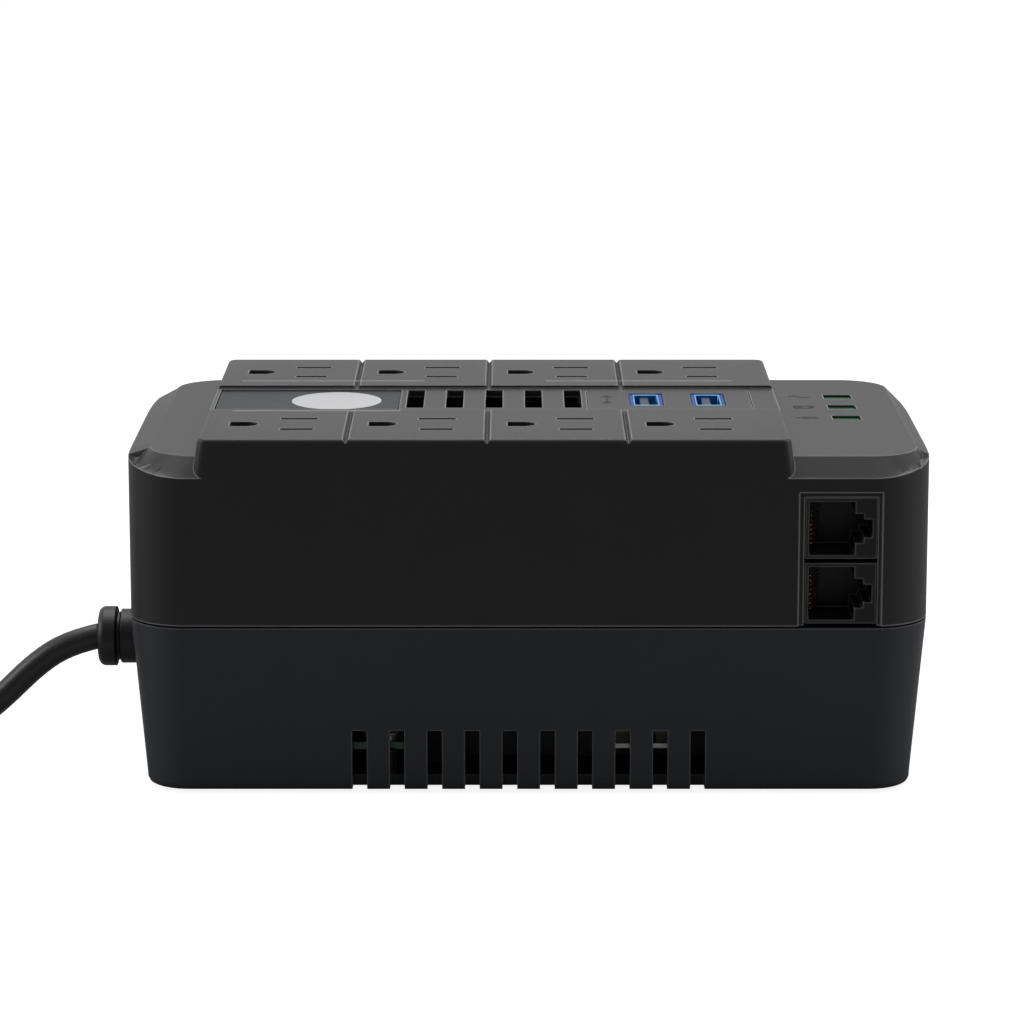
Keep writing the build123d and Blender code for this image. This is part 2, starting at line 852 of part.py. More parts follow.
def ground_bar(side):
    """Brass strip with a pair of spring leaves below each earth hole of a row."""
    y = side * row_y
    x0 = ground_xs[0] - ground_leaf[0] / 2
    x1 = ground_xs[-1] + ground_leaf[0] / 2 + bar_overhang
    half = ground_gap / 2 + leaf_thickness
    bar = block((x0, x1), (y - half, y + half), (carrier_top, carrier_top + bar_thickness))
    for x in ground_xs:
        for leaf in (-1, 1):
            middle = y + leaf * (ground_gap + leaf_thickness) / 2
            bar += block(
                (x - ground_leaf[0] / 2, x + ground_leaf[0] / 2),
                (middle - leaf_thickness / 2, middle + leaf_thickness / 2),
                (carrier_top, carrier_top + ground_leaf[1]),
            )
    return bar


def small_screw(x, y, z, up=True):
    """Short screw whose head seats at height z."""
    radius = small_screw_radius - 0.1
    length = small_screw_length - 0.5
    return screw(x, y, z, length, radius, small_head_radius, small_head_height, up)


# ================================================================ battery
def battery():
    """Sealed lead-acid battery, lying flat."""
    case = block(battery_x, battery_y, (floor_top, battery_top))
    case = fillet(case.edges(), 1.5)
    seam_x = battery_x[1] - 12
    y0, y1 = battery_y
    band = block((seam_x, seam_x + 1.0), (y0 - 1, y1 + 1), (floor_top - 1, battery_top + 1))
    band -= block((seam_x - 1, seam_x + 2), (y0 + 0.5, y1 - 0.5), (floor_top + 0.5, battery_top - 0.5))
    return case - band


def battery_terminals():
    """Two push-on tabs on the battery's right end."""
    tabs = []
    x = battery_x[1]
    base_half = terminal_base / 2
    tab_half = terminal_tab[1] / 2
    tab_rise = terminal_thickness / 2
    for y in terminal_y:
        base = block(
            (x, x + terminal_thickness),
            (y - base_half, y + base_half),
            (terminal_z - base_half, terminal_z + base_half),
        )
        tab = block(
            (x, x + terminal_tab[0]),
            (y - tab_half, y + tab_half),
            (terminal_z - tab_rise, terminal_z + tab_rise),
        )
        tabs.append(base + tab)
    return tabs


def battery_strap():
    """Steel strap over the battery, with a foot at each side."""
    t = strap_thickness
    x = (strap_x - strap_width / 2, strap_x + strap_width / 2)
    y0, y1 = battery_y
    foot_z = floor_top + strap_boss_height
    strap = block(x, (y0 - t, y1 + t), (battery_top, battery_top + t))
    strap += block(x, (y0 - t, y0), (foot_z, battery_top + t))
    strap += block(x, (y1, y1 + t), (foot_z, battery_top + t))
    strap += block(x, (y0 - t - strap_foot, y0), (foot_z, foot_z + t))
    strap += block(x, (y1, y1 + t + strap_foot), (foot_z, foot_z + t))
    for hx, hy in strap_holes:
        strap -= post(hx, hy, foot_z - 1, foot_z + t + 1, small_screw_radius + 0.2)
    return strap


def battery_leads():
    """Two insulated leads from the battery's tabs, over the battery, down to the main board."""
    run_z = battery_top + strap_thickness + lead_radius + 0.9
    drop_x = board_x[1] - 3.6
    leads = []
    for y, drop_y in zip(terminal_y, (board_y[1] - 10.7, board_y[1] - 7.5)):
        points = [
            (battery_x[1] + 4.4, y, terminal_z + 0.4),
            (battery_x[1] + 4.4, y, run_z),
            (battery_x[1] - 12, y - 1.0, run_z),
            (battery_x[0] + 12, drop_y, run_z),
            (drop_x, drop_y, run_z),
            (drop_x, drop_y, board_top),
        ]
        path = FilletPolyline(*points, radius=3.0)
        start = Plane(origin=path @ 0, z_dir=path % 0)
        leads.append(sweep(start * Circle(lead_radius), path=path))
    return leads


# ================================================================ transformer
def transformer_core():
    """Stack of E and I laminations with two windows."""
    x = (core_x - core_width / 2, core_x + core_width / 2)
    y = (core_y - core_stack / 2, core_y + core_stack / 2)
    core = block(x, y, (core_bottom, core_bottom + core_height))
    window_z = (core_bottom + core_leg, core_bottom + core_height - core_leg)
    for side in (-1, 1):
        ends = sorted((core_x + side * core_leg, core_x + side * 2 * core_leg))
        core -= block(ends, (y[0] - 1, y[1] + 1), window_z)
    return core


def transformer_coil():
    """Winding round the middle leg, taped outside."""
    half_x = 2 * core_leg - coil_clearance
    half_y = core_stack / 2 + coil_overhang
    z0 = core_bottom + core_leg + coil_clearance
    z1 = core_bottom + core_height - core_leg - coil_clearance
    coil = block((core_x - half_x, core_x + half_x), (core_y - half_y, core_y + half_y), (z0, z1))
    coil = fillet(coil.edges().filter_by(Axis.Z), 5.0)
    hole_x = core_leg + coil_clearance
    hole_y = core_stack / 2 + coil_clearance
    through = (z0 - 1, z1 + 1)
    return coil - block((core_x - hole_x, core_x + hole_x), (core_y - hole_y, core_y + hole_y), through)


def transformer_plate():
    """Base plate below the core, with a screw ear at each corner."""
    half_x = ear_x + 4
    half_y = ear_y + 4
    z = (plate_bottom, core_bottom)
    plate = block((core_x - half_x, core_x + half_x), (core_y - half_y, core_y + half_y), z)
    plate = fillet(plate.edges().filter_by(Axis.Z), 3.0)
    for x, y in ear_holes:
        plate -= post(x, y, z[0] - 1, z[1] + 1, small_screw_radius + 0.2)
    return plate


def transformer_screws():
    """Four screws through the plate's ears, too short to reach the floor's underside."""
    length = plate_thickness + plate_lift + floor_thickness - 1.0
    radius = small_screw_radius - 0.1
    return [
        screw(x, y, core_bottom, length, radius, small_head_radius, small_head_height, up=False)
        for x, y in ear_holes
    ]


# ================================================================ main board
def main_board():
    """Control and inverter board on four posts."""
    board = block(board_x, board_y, (board_bottom, board_top))
    for x, y in board_holes:
        board -= post(x, y, board_bottom - 1, board_top + 1, small_screw_radius + 0.2)
    return board


def small_screws():
    """Screws of the main board, the battery strap, the contact trays and the two small boards."""
    strap_seat = floor_top + strap_boss_height + strap_thickness
    screws = [small_screw(x, y, board_top, up=False) for x, y in board_holes]
    screws += [small_screw(x, y, strap_seat, up=False) for x, y in strap_holes]
    screws += [small_screw(x, side * carrier_boss_y, carrier_z) for x in carrier_bosses for side in (-1, 1)]
    screws += [small_screw(x, y, led_board_top - board_thickness) for x, y in led_board_holes()]
    return screws + [small_screw(x, y, usb_board_top - board_thickness) for x, y in usb_board_holes()]


def relay(place):
    """Sealed power relay."""
    x, y = place
    half_x, half_y = (s / 2 for s in relay_size[:2])
    height = (board_top, board_top + relay_size[2])
    body = block((x - half_x, x + half_x), (y - half_y, y + half_y), height)
    return fillet(body.edges().filter_by(Axis.Z), relay_round)


def capacitors():
    """Three electrolytic capacitors, standing."""
    cans = []
    for x, y, radius, height in capacitor_places:
        can = post(x, y, board_top, board_top + height, radius)
        cans.append(fillet(can.edges().group_by(Axis.Z)[-1], capacitor_round))
    return cans


def heat_sink():
    """Finned aluminium plate that cools the power transistors."""
    x, y = heat_sink_place
    z = (board_top, board_top + heat_sink_height)
    half = heat_sink_plate / 2
    sink = block((x - heat_sink_width / 2, x + heat_sink_width / 2), (y - half, y + half), z)
    for i in range(fin_count):
        fin_x = x + fin_pitch * (i - (fin_count - 1) / 2)
        sink += block((fin_x - fin_thickness / 2, fin_x + fin_thickness / 2), (y, y + fin_reach), z)
    return sink


def power_transistors():
    """Flat transistor packages clamped to the heat sink."""
    x, y = heat_sink_place
    back = y - heat_sink_plate / 2
    width, depth, height = transistor_size
    lift = board_top + transistor_lift
    return block((x - width / 2, x + width / 2), (back - depth, back), (lift, lift + height))


def buzzer():
    """Round alarm sounder with its sound hole."""
    x, y = buzzer_place
    top = board_top + buzzer_height
    return post(x, y, board_top, top, buzzer_radius) - post(x, y, top - 3, top + 1, buzzer_hole)


def mains_leads():
    """Three conductors from the cord's inner end down to the main board."""
    leads = []
    inner = relief_start + wall + relief_nut_length + relief_tail_length
    for i in range(3):
        y = cord_y + (i - 1) * 2.6
        points = [(inner, y, cord_z), (inner + 6, y, cord_z), (inner + 6, y, board_top)]
        path = FilletPolyline(*points, radius=3.0)
        start = Plane(origin=path @ 0, z_dir=path % 0)
        leads.append(sweep(start * Circle(1.0), path=path))
    return leads


# ================================================================ controls on the back
def power_button():
    """Round push button, flush with the back face."""
    stem_end = wall_inside - 4.0
    cap = bar_along_y(button_x, button_z, wall_inside - 1.6, button_face, button_radius)
    cap = fillet(cap.edges().sort_by(Axis.Y)[-1], 0.6)
    flange = bar_along_y(button_x, button_z, wall_inside - 1.8, wall_inside - 0.3, button_radius + 1.2)
    stem = bar_along_y(button_x, button_z, stem_end, wall_inside - 1, 2.2)
    return cap + flange + stem


def power_switch():
    """Latching switch body behind the power button, with a well for the button's stem."""
    w, h, d = switch_size
    y1 = wall_inside - 1.8 - button_travel - 0.3
    body = block((button_x - w / 2, button_x + w / 2), (y1 - d, y1), (button_z - h / 2, button_z + h / 2))
    well = bar_along_y(button_x, button_z, wall_inside - 4.0 - button_travel - 0.5, y1 + 1, 2.5)
    return body - well


def switch_bracket():
    """Cradle that hangs the switch from the back wall."""
    w, h, d = switch_size
    y1 = wall_inside - 1.8 - button_travel - 0.3
    reach = button_radius + 1.2 + 0.4
    z = (button_z - h / 2, button_z + h / 2)
    sides = Part()
    for side in (-1, 1):
        cheek = sorted((button_x + side * w / 2, button_x + side * (reach + 1.0)))
        arm = sorted((button_x + side * reach, button_x + side * (reach + 1.0)))
        sides += block(cheek, (y1 - d, y1), z) + block(arm, (y1 - 1, wall_inside), z)
    shelf = (button_z - h / 2 - 1.4, button_z - h / 2)
    return sides + block((button_x - reach - 1.6, button_x + reach + 1.0), (y1 - d, y1), shelf)


def breaker_body():
    """Resettable breaker: a body inside, and a threaded bush through the wall."""
    w, h, d = breaker_body_size
    pocket_floor = half_depth - breaker_pocket_depth
    inside = wall_inside - breaker_pocket_depth
    body = block(
        (breaker_x - w / 2, breaker_x + w / 2),
        (inside - d, inside),
        (breaker_z - h / 2, breaker_z + h / 2),
    )
    bush_end = pocket_floor + breaker_nut_height
    bush = bar_along_y(breaker_x, breaker_z, inside - 1, bush_end, breaker_bush_radius)
    well = bar_along_y(
        breaker_x, breaker_z, inside - 6, half_depth + 1, breaker_button_radius + breaker_button_clearance
    )
    return body + bush - well


def breaker_nut():
    """Hexagon nut that clamps the breaker to its seat."""
    pocket_floor = half_depth - breaker_pocket_depth
    outline = RegularPolygon(breaker_nut_radius, 6) - Circle(breaker_bush_radius + 0.05)
    nut = extrude(Plane.XZ * outline, breaker_nut_height)
    return Pos(breaker_x, pocket_floor + breaker_nut_height, breaker_z) * nut


def breaker_button():
    """Reset button, which springs out when the breaker trips."""
    inside = wall_inside - breaker_pocket_depth
    button = bar_along_y(breaker_x, breaker_z, inside - 5.5, half_depth - 0.2, breaker_button_radius)
    return fillet(button.edges().sort_by(Axis.Y)[-1], 0.6)


# ================================================================ cord
def strain_relief():
    """Moulded gland on the left wall, with a collar, groove and neck outside and a clamp inside."""
    outside = relief_start
    inside = outside + wall
    collar_in = relief_tip + relief_collar_length
    neck_out = collar_in + relief_groove_length
    nut_in = inside + 0.3
    relief = bar_along_x(cord_y, cord_z, relief_tip, collar_in, relief_collar_radius)
    relief = fillet(relief.edges().sort_by(Axis.X)[0], 1.6)
    relief += bar_along_x(cord_y, cord_z, collar_in, neck_out, relief_groove_radius)
    relief += bar_along_x(cord_y, cord_z, neck_out, outside - 0.9, relief_neck_radius)
    relief += bar_along_x(cord_y, cord_z, outside - 1.2, nut_in + relief_nut_length, relief_wall_radius)
    relief += bar_along_x(cord_y, cord_z, nut_in + 0.4, nut_in + relief_nut_length, relief_nut_radius)
    tail = inside + relief_nut_length + relief_tail_length
    relief += bar_along_x(cord_y, cord_z, nut_in + relief_nut_length, tail, relief_tail_radius)
    return relief


def cord_coil():
    """Outer shape of the coiled stretch: a ring of turns side by side in two layers."""
    outer = coil_radius + cord_radius
    inner = coil_radius - (coil_turns_across - 1) * coil_turn_pitch - cord_radius
    height = coil_layers * 2 * cord_radius
    x, y = coil_centre
    return post(x, y, 0, height, outer) - post(x, y, -1, height + 1, inner)


def cord_tie():
    """Hook-and-loop band round the coil."""
    outer = coil_radius + cord_radius
    inner = coil_radius - (coil_turns_across - 1) * coil_turn_pitch - cord_radius
    height = coil_layers * 2 * cord_radius
    x, y = coil_centre
    gap = 0.3
    half = tie_width / 2
    t = tie_thickness
    far = y + outer + gap
    near = y + inner - 2 * gap
    low = (0.0, height + gap + t)
    band = block((x - half, x + half), (near - t, far + t), low)
    return band - block((x - half - 1, x + half + 1), (near, far), (-1, height + gap))


def plug_body():
    """Moulded plug lying on its side, with its tapered relief towards the cord."""
    x, y, z = tail_route[-1]
    neck = y + plug_relief_length
    relief = loft(
        [
            Plane(origin=(x, y, z), z_dir=(0, 1, 0)) * Circle(cord_radius + plug_relief_wall[0]),
            Plane(origin=(x, neck, z), z_dir=(0, 1, 0)) * Circle(cord_radius + plug_relief_wall[1]),
        ]
    )
    grip = block(
        (x - plug_width / 2, x + plug_width / 2),
        (neck, neck + plug_length),
        (z - plug_height / 2, z + plug_height / 2),
    )
    grip = fillet(grip.edges(), plug_round)
    return relief + grip


def plug_blades():
    """Two flat blades and the round earth pin."""
    x, y, z = tail_route[-1]
    face = y + plug_relief_length + plug_length
    blades = []
    height, thickness = plug_blade
    z_blades = z - plug_blade_drop
    for side in (-1, 1):
        middle = x + side * blade_spacing / 2
        blades.append(
            block(
                (middle - thickness / 2, middle + thickness / 2),
                (face, face + plug_blade_length),
                (z_blades - height / 2, z_blades + height / 2),
            )
        )
    earth_z = z_blades + ground_to_blades
    blades.append(bar_along_y(x, earth_z, face, face + plug_ground_length, plug_ground_radius))
    return blades


# ================================================================ write the nodes
def write(name, shape):
    """Write one node, as one solid or as a group of separate solids."""
    solids = shape if isinstance(shape, list) else [shape]
    if len(solids) > 1:
        shape = Compound(children=[s if isinstance(s, Solid) else s.solid() for s in solids])
    else:
        shape = solids[0]
    export_step(shape, f"parts/{name}.step")


def main():
    """Build every node."""
    nodes = {
        "lower_housing": lower_housing(),
        "upper_housing": upper_housing(),
        "rubber_feet": rubber_feet(),
        "housing_screws": housing_screws(),
        "label_plate": label_plate(),
        "usb_bezel": usb_bezel(),
        "usb_board": usb_board(),
        "led_board": led_board(),
        "status_leds": status_leds(),
        "jack_board": jack_board(),
        "battery": battery(),
        "battery_terminals": battery_terminals(),
        "battery_strap": battery_strap(),
        "battery_leads": battery_leads(),
        "transformer_core": transformer_core(),
        "transformer_coil": transformer_coil(),
        "transformer_plate": transformer_plate(),
        "transformer_screws": transformer_screws(),
        "main_board": main_board(),
        "small_screws": small_screws(),
        "transfer_relay": relay(transfer_relay_place),
        "boost_relay": relay(boost_relay_place),
        "capacitors": capacitors(),
        "heat_sink": heat_sink(),
        "power_transistors": power_transistors(),
        "buzzer": buzzer(),
        "mains_leads": mains_leads(),
        "power_button": power_button(),
        "power_switch": power_switch(),
        "switch_bracket": switch_bracket(),
        "breaker_body": breaker_body(),
        "breaker_nut": breaker_nut(),
        "breaker_button": breaker_button(),
        "strain_relief": strain_relief(),
        "cord_coil": cord_coil(),
        "cord_tie": cord_tie(),
        "plug_body": plug_body(),
        "plug_blades": plug_blades(),
    }
    for side, x in zip(("left", "right"), usb_x):
        nodes[f"usb_insert_{side}"] = usb_insert(x)
        nodes[f"usb_shell_{side}"] = usb_shell(x)
    for place, y in zip(("front", "middle", "back"), led_y):
        nodes[f"led_guide_{place}"] = led_guide(y)
    for place, z in zip(("lower", "upper"), jack_z):
        nodes[f"jack_housing_{place}"] = jack_housing(z)
        nodes[f"jack_contacts_{place}"] = jack_contacts(z)
    for row, side in (("front", -1), ("back", 1)):
        nodes[f"{row}_contact_carrier"] = contact_carrier(side)
        nodes[f"{row}_line_bar"] = blade_bar(side, -1)
        nodes[f"{row}_neutral_bar"] = blade_bar(side, 1)
        nodes[f"{row}_ground_bar"] = ground_bar(side)
    for name, route in (("power_cord", cord_route), ("cord_tail", tail_route)):
        nodes[name], length = tube(route, cord_radius)
        expected = math.pi * cord_radius**2 * length
        print(f"{name}: volume {nodes[name].volume:.0f}, section times length {expected:.0f}")
    for name, shape in nodes.items():
        write(name, shape)
    print(f"{len(nodes)} nodes")


main()
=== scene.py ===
"""Looks of a compact eight-outlet uninterruptible power supply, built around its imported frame.

Every length below is in metres and every place is in the frame's own axes: +X right, +Y to the back, +Z up.
Each sub-assembly is a class, each finish is a frozen dataclass, and what repeats is made by Geometry Nodes.
"""

import json
import logging
import math
from dataclasses import dataclass, field
from enum import Enum
from typing import Callable, Iterable, Sequence

import bmesh
import bpy
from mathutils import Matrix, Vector


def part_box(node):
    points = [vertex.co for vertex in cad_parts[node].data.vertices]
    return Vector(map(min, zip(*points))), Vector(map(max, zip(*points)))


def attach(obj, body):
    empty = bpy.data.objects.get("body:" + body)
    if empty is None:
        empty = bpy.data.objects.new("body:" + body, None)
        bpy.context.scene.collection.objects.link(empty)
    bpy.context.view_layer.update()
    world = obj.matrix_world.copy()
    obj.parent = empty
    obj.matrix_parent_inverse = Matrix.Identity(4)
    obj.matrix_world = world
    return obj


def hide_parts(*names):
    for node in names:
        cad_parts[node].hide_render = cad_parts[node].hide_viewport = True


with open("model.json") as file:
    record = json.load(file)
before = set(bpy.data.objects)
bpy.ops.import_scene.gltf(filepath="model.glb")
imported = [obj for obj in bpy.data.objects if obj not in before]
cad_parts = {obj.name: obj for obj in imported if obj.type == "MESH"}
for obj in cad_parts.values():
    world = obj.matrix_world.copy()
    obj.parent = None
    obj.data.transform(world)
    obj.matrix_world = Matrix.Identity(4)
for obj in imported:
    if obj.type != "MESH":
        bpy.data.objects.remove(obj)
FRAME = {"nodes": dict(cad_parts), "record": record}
LOG = logging.getLogger("power_supply")
MM = 0.001
SHOULDER_DROP = 4.4 * MM
Point = tuple[float, float, float]
Flat = tuple[float, float]
Colour = tuple[float, float, float]


class Grain(Enum):
    """How a surface is textured."""

    SPARK = "spark-eroded mould grain"
    SMOOTH = "polished mould"
    BRUSHED = "rolled or brushed metal"
    WOVEN = "woven band"
    LAMINATED = "stacked sheets"
    MOTTLED = "soldered board"


# ================================================================ finishes
@dataclass(frozen=True)
class Finish:
    """One surface finish, worked out as a procedural material.

    Attributes:
        name: Material name.
        colour: Base colour, linear.
        second: Colour that the variation leans towards.
        roughness: Middle roughness.
        grain: Kind of texture.
        grain_size: Size of one grain, in metres.
        bump: Height of the grain, in metres.
        metallic: Metallic share.
        coat: Clear coat share.
        glow: Emission strength, for lit pieces.
        edge_highlight: How strongly a painted highlight lightens sharp edges.
        spread: Half the width of the roughness variation.
        specular: Level of the plain reflection.
    """

    name: str
    colour: Colour
    second: Colour
    roughness: float = 0.5
    grain: Grain = Grain.SMOOTH
    grain_size: float = 0.4 * MM
    bump: float = 0.01 * MM
    metallic: float = 0.0
    coat: float = 0.0
    glow: float = 0.0
    edge_highlight: float = 0.0
    spread: float = 0.05
    specular: float = 0.5

    def material(self) -> bpy.types.Material:
        """Build the material once, and return it on later calls.

        Returns:
            The node-based material.
        """
        name = f"finish_{self.name}"
        known = bpy.data.materials.get(name)
        if known is not None:
            return known
        made = bpy.data.materials.new(name)
        made.use_nodes = True
        made.diffuse_color = (*self.colour, 1.0)
        FinishNodes(made.node_tree, self).build()
        return made


@dataclass
class FinishNodes:
    """Wires one finish into a material's node tree.

    Attributes:
        tree: The material's node tree.
        finish: The finish that it gets.
        cloud_size: Size of the broad colour clouds, in metres.
        coat_roughness: Roughness of the clear coat.
        brush_stretch: Scale of brushed grain along X, which draws it out.
        band_scale: Scale that makes one wave band one metre wide.
        band_waver: How far wave bands stray from straight.
        edge_reach: How far from an edge the painted highlight reaches, in metres.
        edge_from: Agreement of the rounded and the true normal where the painted highlight starts.
        edge_full: Agreement where it is full.
        highlight_colour: Colour of the painted highlight on a sharp edge.
    """

    tree: bpy.types.NodeTree
    finish: Finish
    spot: int = 0
    cloud_size: float = 14 * MM
    coat_roughness: float = 0.12
    brush_stretch: float = 0.04
    band_scale: float = 0.314
    band_waver: float = 0.3
    edge_reach: float = 0.5 * MM
    edge_from: float = 0.995
    edge_full: float = 0.90
    highlight_colour: Colour = (0.26, 0.26, 0.27)

    def add(self, kind: str, **values: object) -> bpy.types.Node:
        """Add a node and set its attributes.

        Args:
            kind: Blender's node type.
            **values: Attributes to set on the node.

        Returns:
            The new node.
        """
        node = self.tree.nodes.new(kind)
        node.location = (-220 * (self.spot % 8), -260 * (self.spot // 8))
        self.spot += 1
        for key, value in values.items():
            setattr(node, key, value)
        return node

    def link(self, source: bpy.types.NodeSocket, target: bpy.types.NodeSocket) -> None:
        """Join two sockets."""
        self.tree.links.new(source, target)

    def noise(self, size: float, detail: float, stretch: Point = (1.0, 1.0, 1.0)) -> bpy.types.Node:
        """Noise on object coordinates.

        Args:
            size: Size of one feature, in metres.
            detail: Noise detail.
            stretch: Scale of the coordinates along each axis.

        Returns:
            The noise node.
        """
        where = self.add("ShaderNodeTexCoord")
        mapping = self.add("ShaderNodeMapping")
        mapping.inputs["Scale"].default_value = stretch
        texture = self.add("ShaderNodeTexNoise")
        texture.inputs["Scale"].default_value = 1.0 / size
        texture.inputs["Detail"].default_value = detail
        self.link(where.outputs["Object"], mapping.inputs["Vector"])
        self.link(mapping.outputs["Vector"], texture.inputs["Vector"])
        return texture

    def wave(self, size: float, axis: str) -> bpy.types.Node:
        """Straight bands on object coordinates.

        Args:
            size: Width of one band, in metres.
            axis: X, Y or Z.

        Returns:
            The wave node.
        """
        where = self.add("ShaderNodeTexCoord")
        texture = self.add("ShaderNodeTexWave", bands_direction=axis)
        texture.inputs["Scale"].default_value = self.band_scale / size
        texture.inputs["Distortion"].default_value = self.band_waver
        self.link(where.outputs["Object"], texture.inputs["Vector"])
        return texture

    def height(self) -> bpy.types.NodeSocket:
        """Texture that raises the surface, by the finish's grain.

        Returns:
            The socket of the height.
        """
        size = self.finish.grain_size
        if self.finish.grain is Grain.BRUSHED:
            return self.noise(size, 3.0, (self.brush_stretch, 1.0, 1.0)).outputs["Fac"]
        if self.finish.grain is Grain.WOVEN:
            across = self.wave(size, "X")
            along = self.wave(size, "Z")
            both = self.add("ShaderNodeMath", operation="MAXIMUM")
            self.link(across.outputs["Fac"], both.inputs[0])
            self.link(along.outputs["Fac"], both.inputs[1])
            return both.outputs[0]
        if self.finish.grain is Grain.LAMINATED:
            return self.wave(size, "Y").outputs["Fac"]
        detail = 2.0 if self.finish.grain is Grain.SMOOTH else 4.0
        return self.noise(size, detail).outputs["Fac"]

    def edges(self, colour: bpy.types.NodeSocket) -> bpy.types.NodeSocket:
        """Paint a highlight into the colour where the surface turns sharply.

        Args:
            colour: The colour so far.

        Returns:
            The lightened colour.
        """
        rounded = self.add("ShaderNodeBevel", samples=4)
        rounded.inputs["Radius"].default_value = self.edge_reach
        true = self.add("ShaderNodeNewGeometry")
        dot = self.add("ShaderNodeVectorMath", operation="DOT_PRODUCT")
        self.link(rounded.outputs["Normal"], dot.inputs[0])
        self.link(true.outputs["Normal"], dot.inputs[1])
        highlight_mask = self.add("ShaderNodeMapRange")
        highlight_mask.inputs["From Min"].default_value = self.edge_from
        highlight_mask.inputs["From Max"].default_value = self.edge_full
        highlight_mask.inputs["To Max"].default_value = self.finish.edge_highlight
        self.link(dot.outputs["Value"], highlight_mask.inputs["Value"])
        mix = self.add("ShaderNodeMix", data_type="RGBA")
        mix.inputs["B"].default_value = (*self.highlight_colour, 1.0)
        self.link(highlight_mask.outputs["Result"], mix.inputs["Factor"])
        self.link(colour, mix.inputs["A"])
        return mix.outputs["Result"]

    def build(self) -> None:
        """Wire the whole material."""
        finish = self.finish
        self.tree.nodes.clear()
        output = self.add("ShaderNodeOutputMaterial")
        shader = self.add("ShaderNodeBsdfPrincipled")
        self.link(shader.outputs["BSDF"], output.inputs["Surface"])
        shader.inputs["Metallic"].default_value = finish.metallic
        shader.inputs["Coat Weight"].default_value = finish.coat
        shader.inputs["Coat Roughness"].default_value = self.coat_roughness
        shader.inputs["Specular IOR Level"].default_value = finish.specular
        clouds = self.noise(self.cloud_size, 3.0)
        mix = self.add("ShaderNodeMix", data_type="RGBA")
        mix.inputs["A"].default_value = (*finish.colour, 1.0)
        mix.inputs["B"].default_value = (*finish.second, 1.0)
        self.link(clouds.outputs["Fac"], mix.inputs["Factor"])
        colour = mix.outputs["Result"]
        # Painted highlight: sharp edges are mixed towards a light colour.
        if finish.edge_highlight > 0.0:
            colour = self.edges(colour)
        self.link(colour, shader.inputs["Base Color"])
        height = self.height()
        rough = self.add("ShaderNodeMapRange")
        rough.inputs["To Min"].default_value = finish.roughness - finish.spread
        rough.inputs["To Max"].default_value = finish.roughness + finish.spread
        self.link(height, rough.inputs["Value"])
        self.link(rough.outputs["Result"], shader.inputs["Roughness"])
        bump = self.add("ShaderNodeBump")
        bump.inputs["Strength"].default_value = 1.0
        bump.inputs["Distance"].default_value = finish.bump
        self.link(height, bump.inputs["Height"])
        self.link(bump.outputs["Normal"], shader.inputs["Normal"])
        if finish.glow > 0.0:
            shader.inputs["Emission Color"].default_value = (*finish.colour, 1.0)
            shader.inputs["Emission Strength"].default_value = finish.glow


# Where a finish has an edge value, its sharp edges get a painted highlight.
UPPER_BLACK = Finish(
    "upper_shell_black", (0.0108, 0.0106, 0.0124), (0.0132, 0.0130, 0.0150), 0.44, Grain.SPARK,
    0.35 * MM, 0.012 * MM, edge_highlight=1.0, specular=0.34,
)
LOWER_BLACK = Finish(
    "lower_shell_black", (0.0150, 0.0166, 0.0198), (0.0178, 0.0196, 0.0232), 0.46, Grain.SPARK,
    0.35 * MM, 0.012 * MM, edge_highlight=0.4, specular=0.36,
)
RUBBER = Finish(
    "black_rubber", (0.005, 0.005, 0.005), (0.008, 0.008, 0.008), 0.42, Grain.SPARK, 0.5 * MM,
    0.012 * MM, specular=0.4,
)
SHEATH = Finish(
    "cord_sheath", (0.006, 0.006, 0.0065), (0.009, 0.009, 0.0095), 0.36, Grain.SMOOTH, 0.9 * MM,
    0.008 * MM,
)
BAND = Finish(
    "tie_band", (0.016, 0.016, 0.017), (0.03, 0.03, 0.03), 0.85, Grain.WOVEN, 0.5 * MM, 0.12 * MM,
)
ZINC = Finish(
    "zinc_steel", (0.62, 0.62, 0.60), (0.55, 0.55, 0.50), 0.34, Grain.BRUSHED, 0.3 * MM, 0.004 * MM,
    1.0,
)
NICKEL = Finish(
    "bright_steel", (0.72, 0.74, 0.78), (0.66, 0.69, 0.74), 0.20, Grain.BRUSHED, 0.3 * MM, 0.002 * MM,
    1.0,
)
LABEL = Finish(
    "label_gloss", (0.008, 0.012, 0.015), (0.010, 0.015, 0.018), 0.52, Grain.SMOOTH, 3 * MM, 0.002 * MM,
    specular=0.28,
)
BEZEL = Finish(
    "bezel_black", (0.0075, 0.0082, 0.0095), (0.0100, 0.0108, 0.0120), 0.42, Grain.SPARK, 0.3 * MM,
    0.008 * MM, edge_highlight=0.5, specular=0.34,
)
PRINT = Finish(
    "pale_print", (0.42, 0.42, 0.44), (0.36, 0.36, 0.38), 0.55, Grain.SPARK, 0.2 * MM, 0.004 * MM,
)
BADGE = Finish(
    "badge_print", (0.44, 0.44, 0.45), (0.40, 0.40, 0.41), 0.35, Grain.SMOOTH, 2 * MM, 0.002 * MM,
)
ENGRAVED = Finish("engraved_mark", (0.004, 0.004, 0.004), (0.006, 0.006, 0.006), 0.7, Grain.SPARK)
USB_DEEP = Finish(
    "usb_blue", (0.003, 0.030, 0.22), (0.004, 0.042, 0.30), 0.45, Grain.SMOOTH, 1.5 * MM, 0.003 * MM,
    specular=0.2,
)
# Dark blue for the sheet on the tongue's end: painted shade inside the socket.
TONGUE_SHADE = Finish(
    "usb_tongue_blue", (0.003, 0.010, 0.035), (0.004, 0.014, 0.050), 0.4, Grain.SMOOTH, 1.5 * MM,
    0.003 * MM, specular=0.25,
)
BOARD = Finish(
    "circuit_board", (0.012, 0.11, 0.045), (0.02, 0.16, 0.06), 0.30, Grain.MOTTLED, 1.4 * MM, 0.02 * MM,
    coat=0.4,
)
SOCKET_STEEL = Finish(
    "socket_steel", (0.10, 0.40, 0.74), (0.14, 0.48, 0.80), 0.30, Grain.BRUSHED, 0.3 * MM, 0.002 * MM,
    1.0,
)
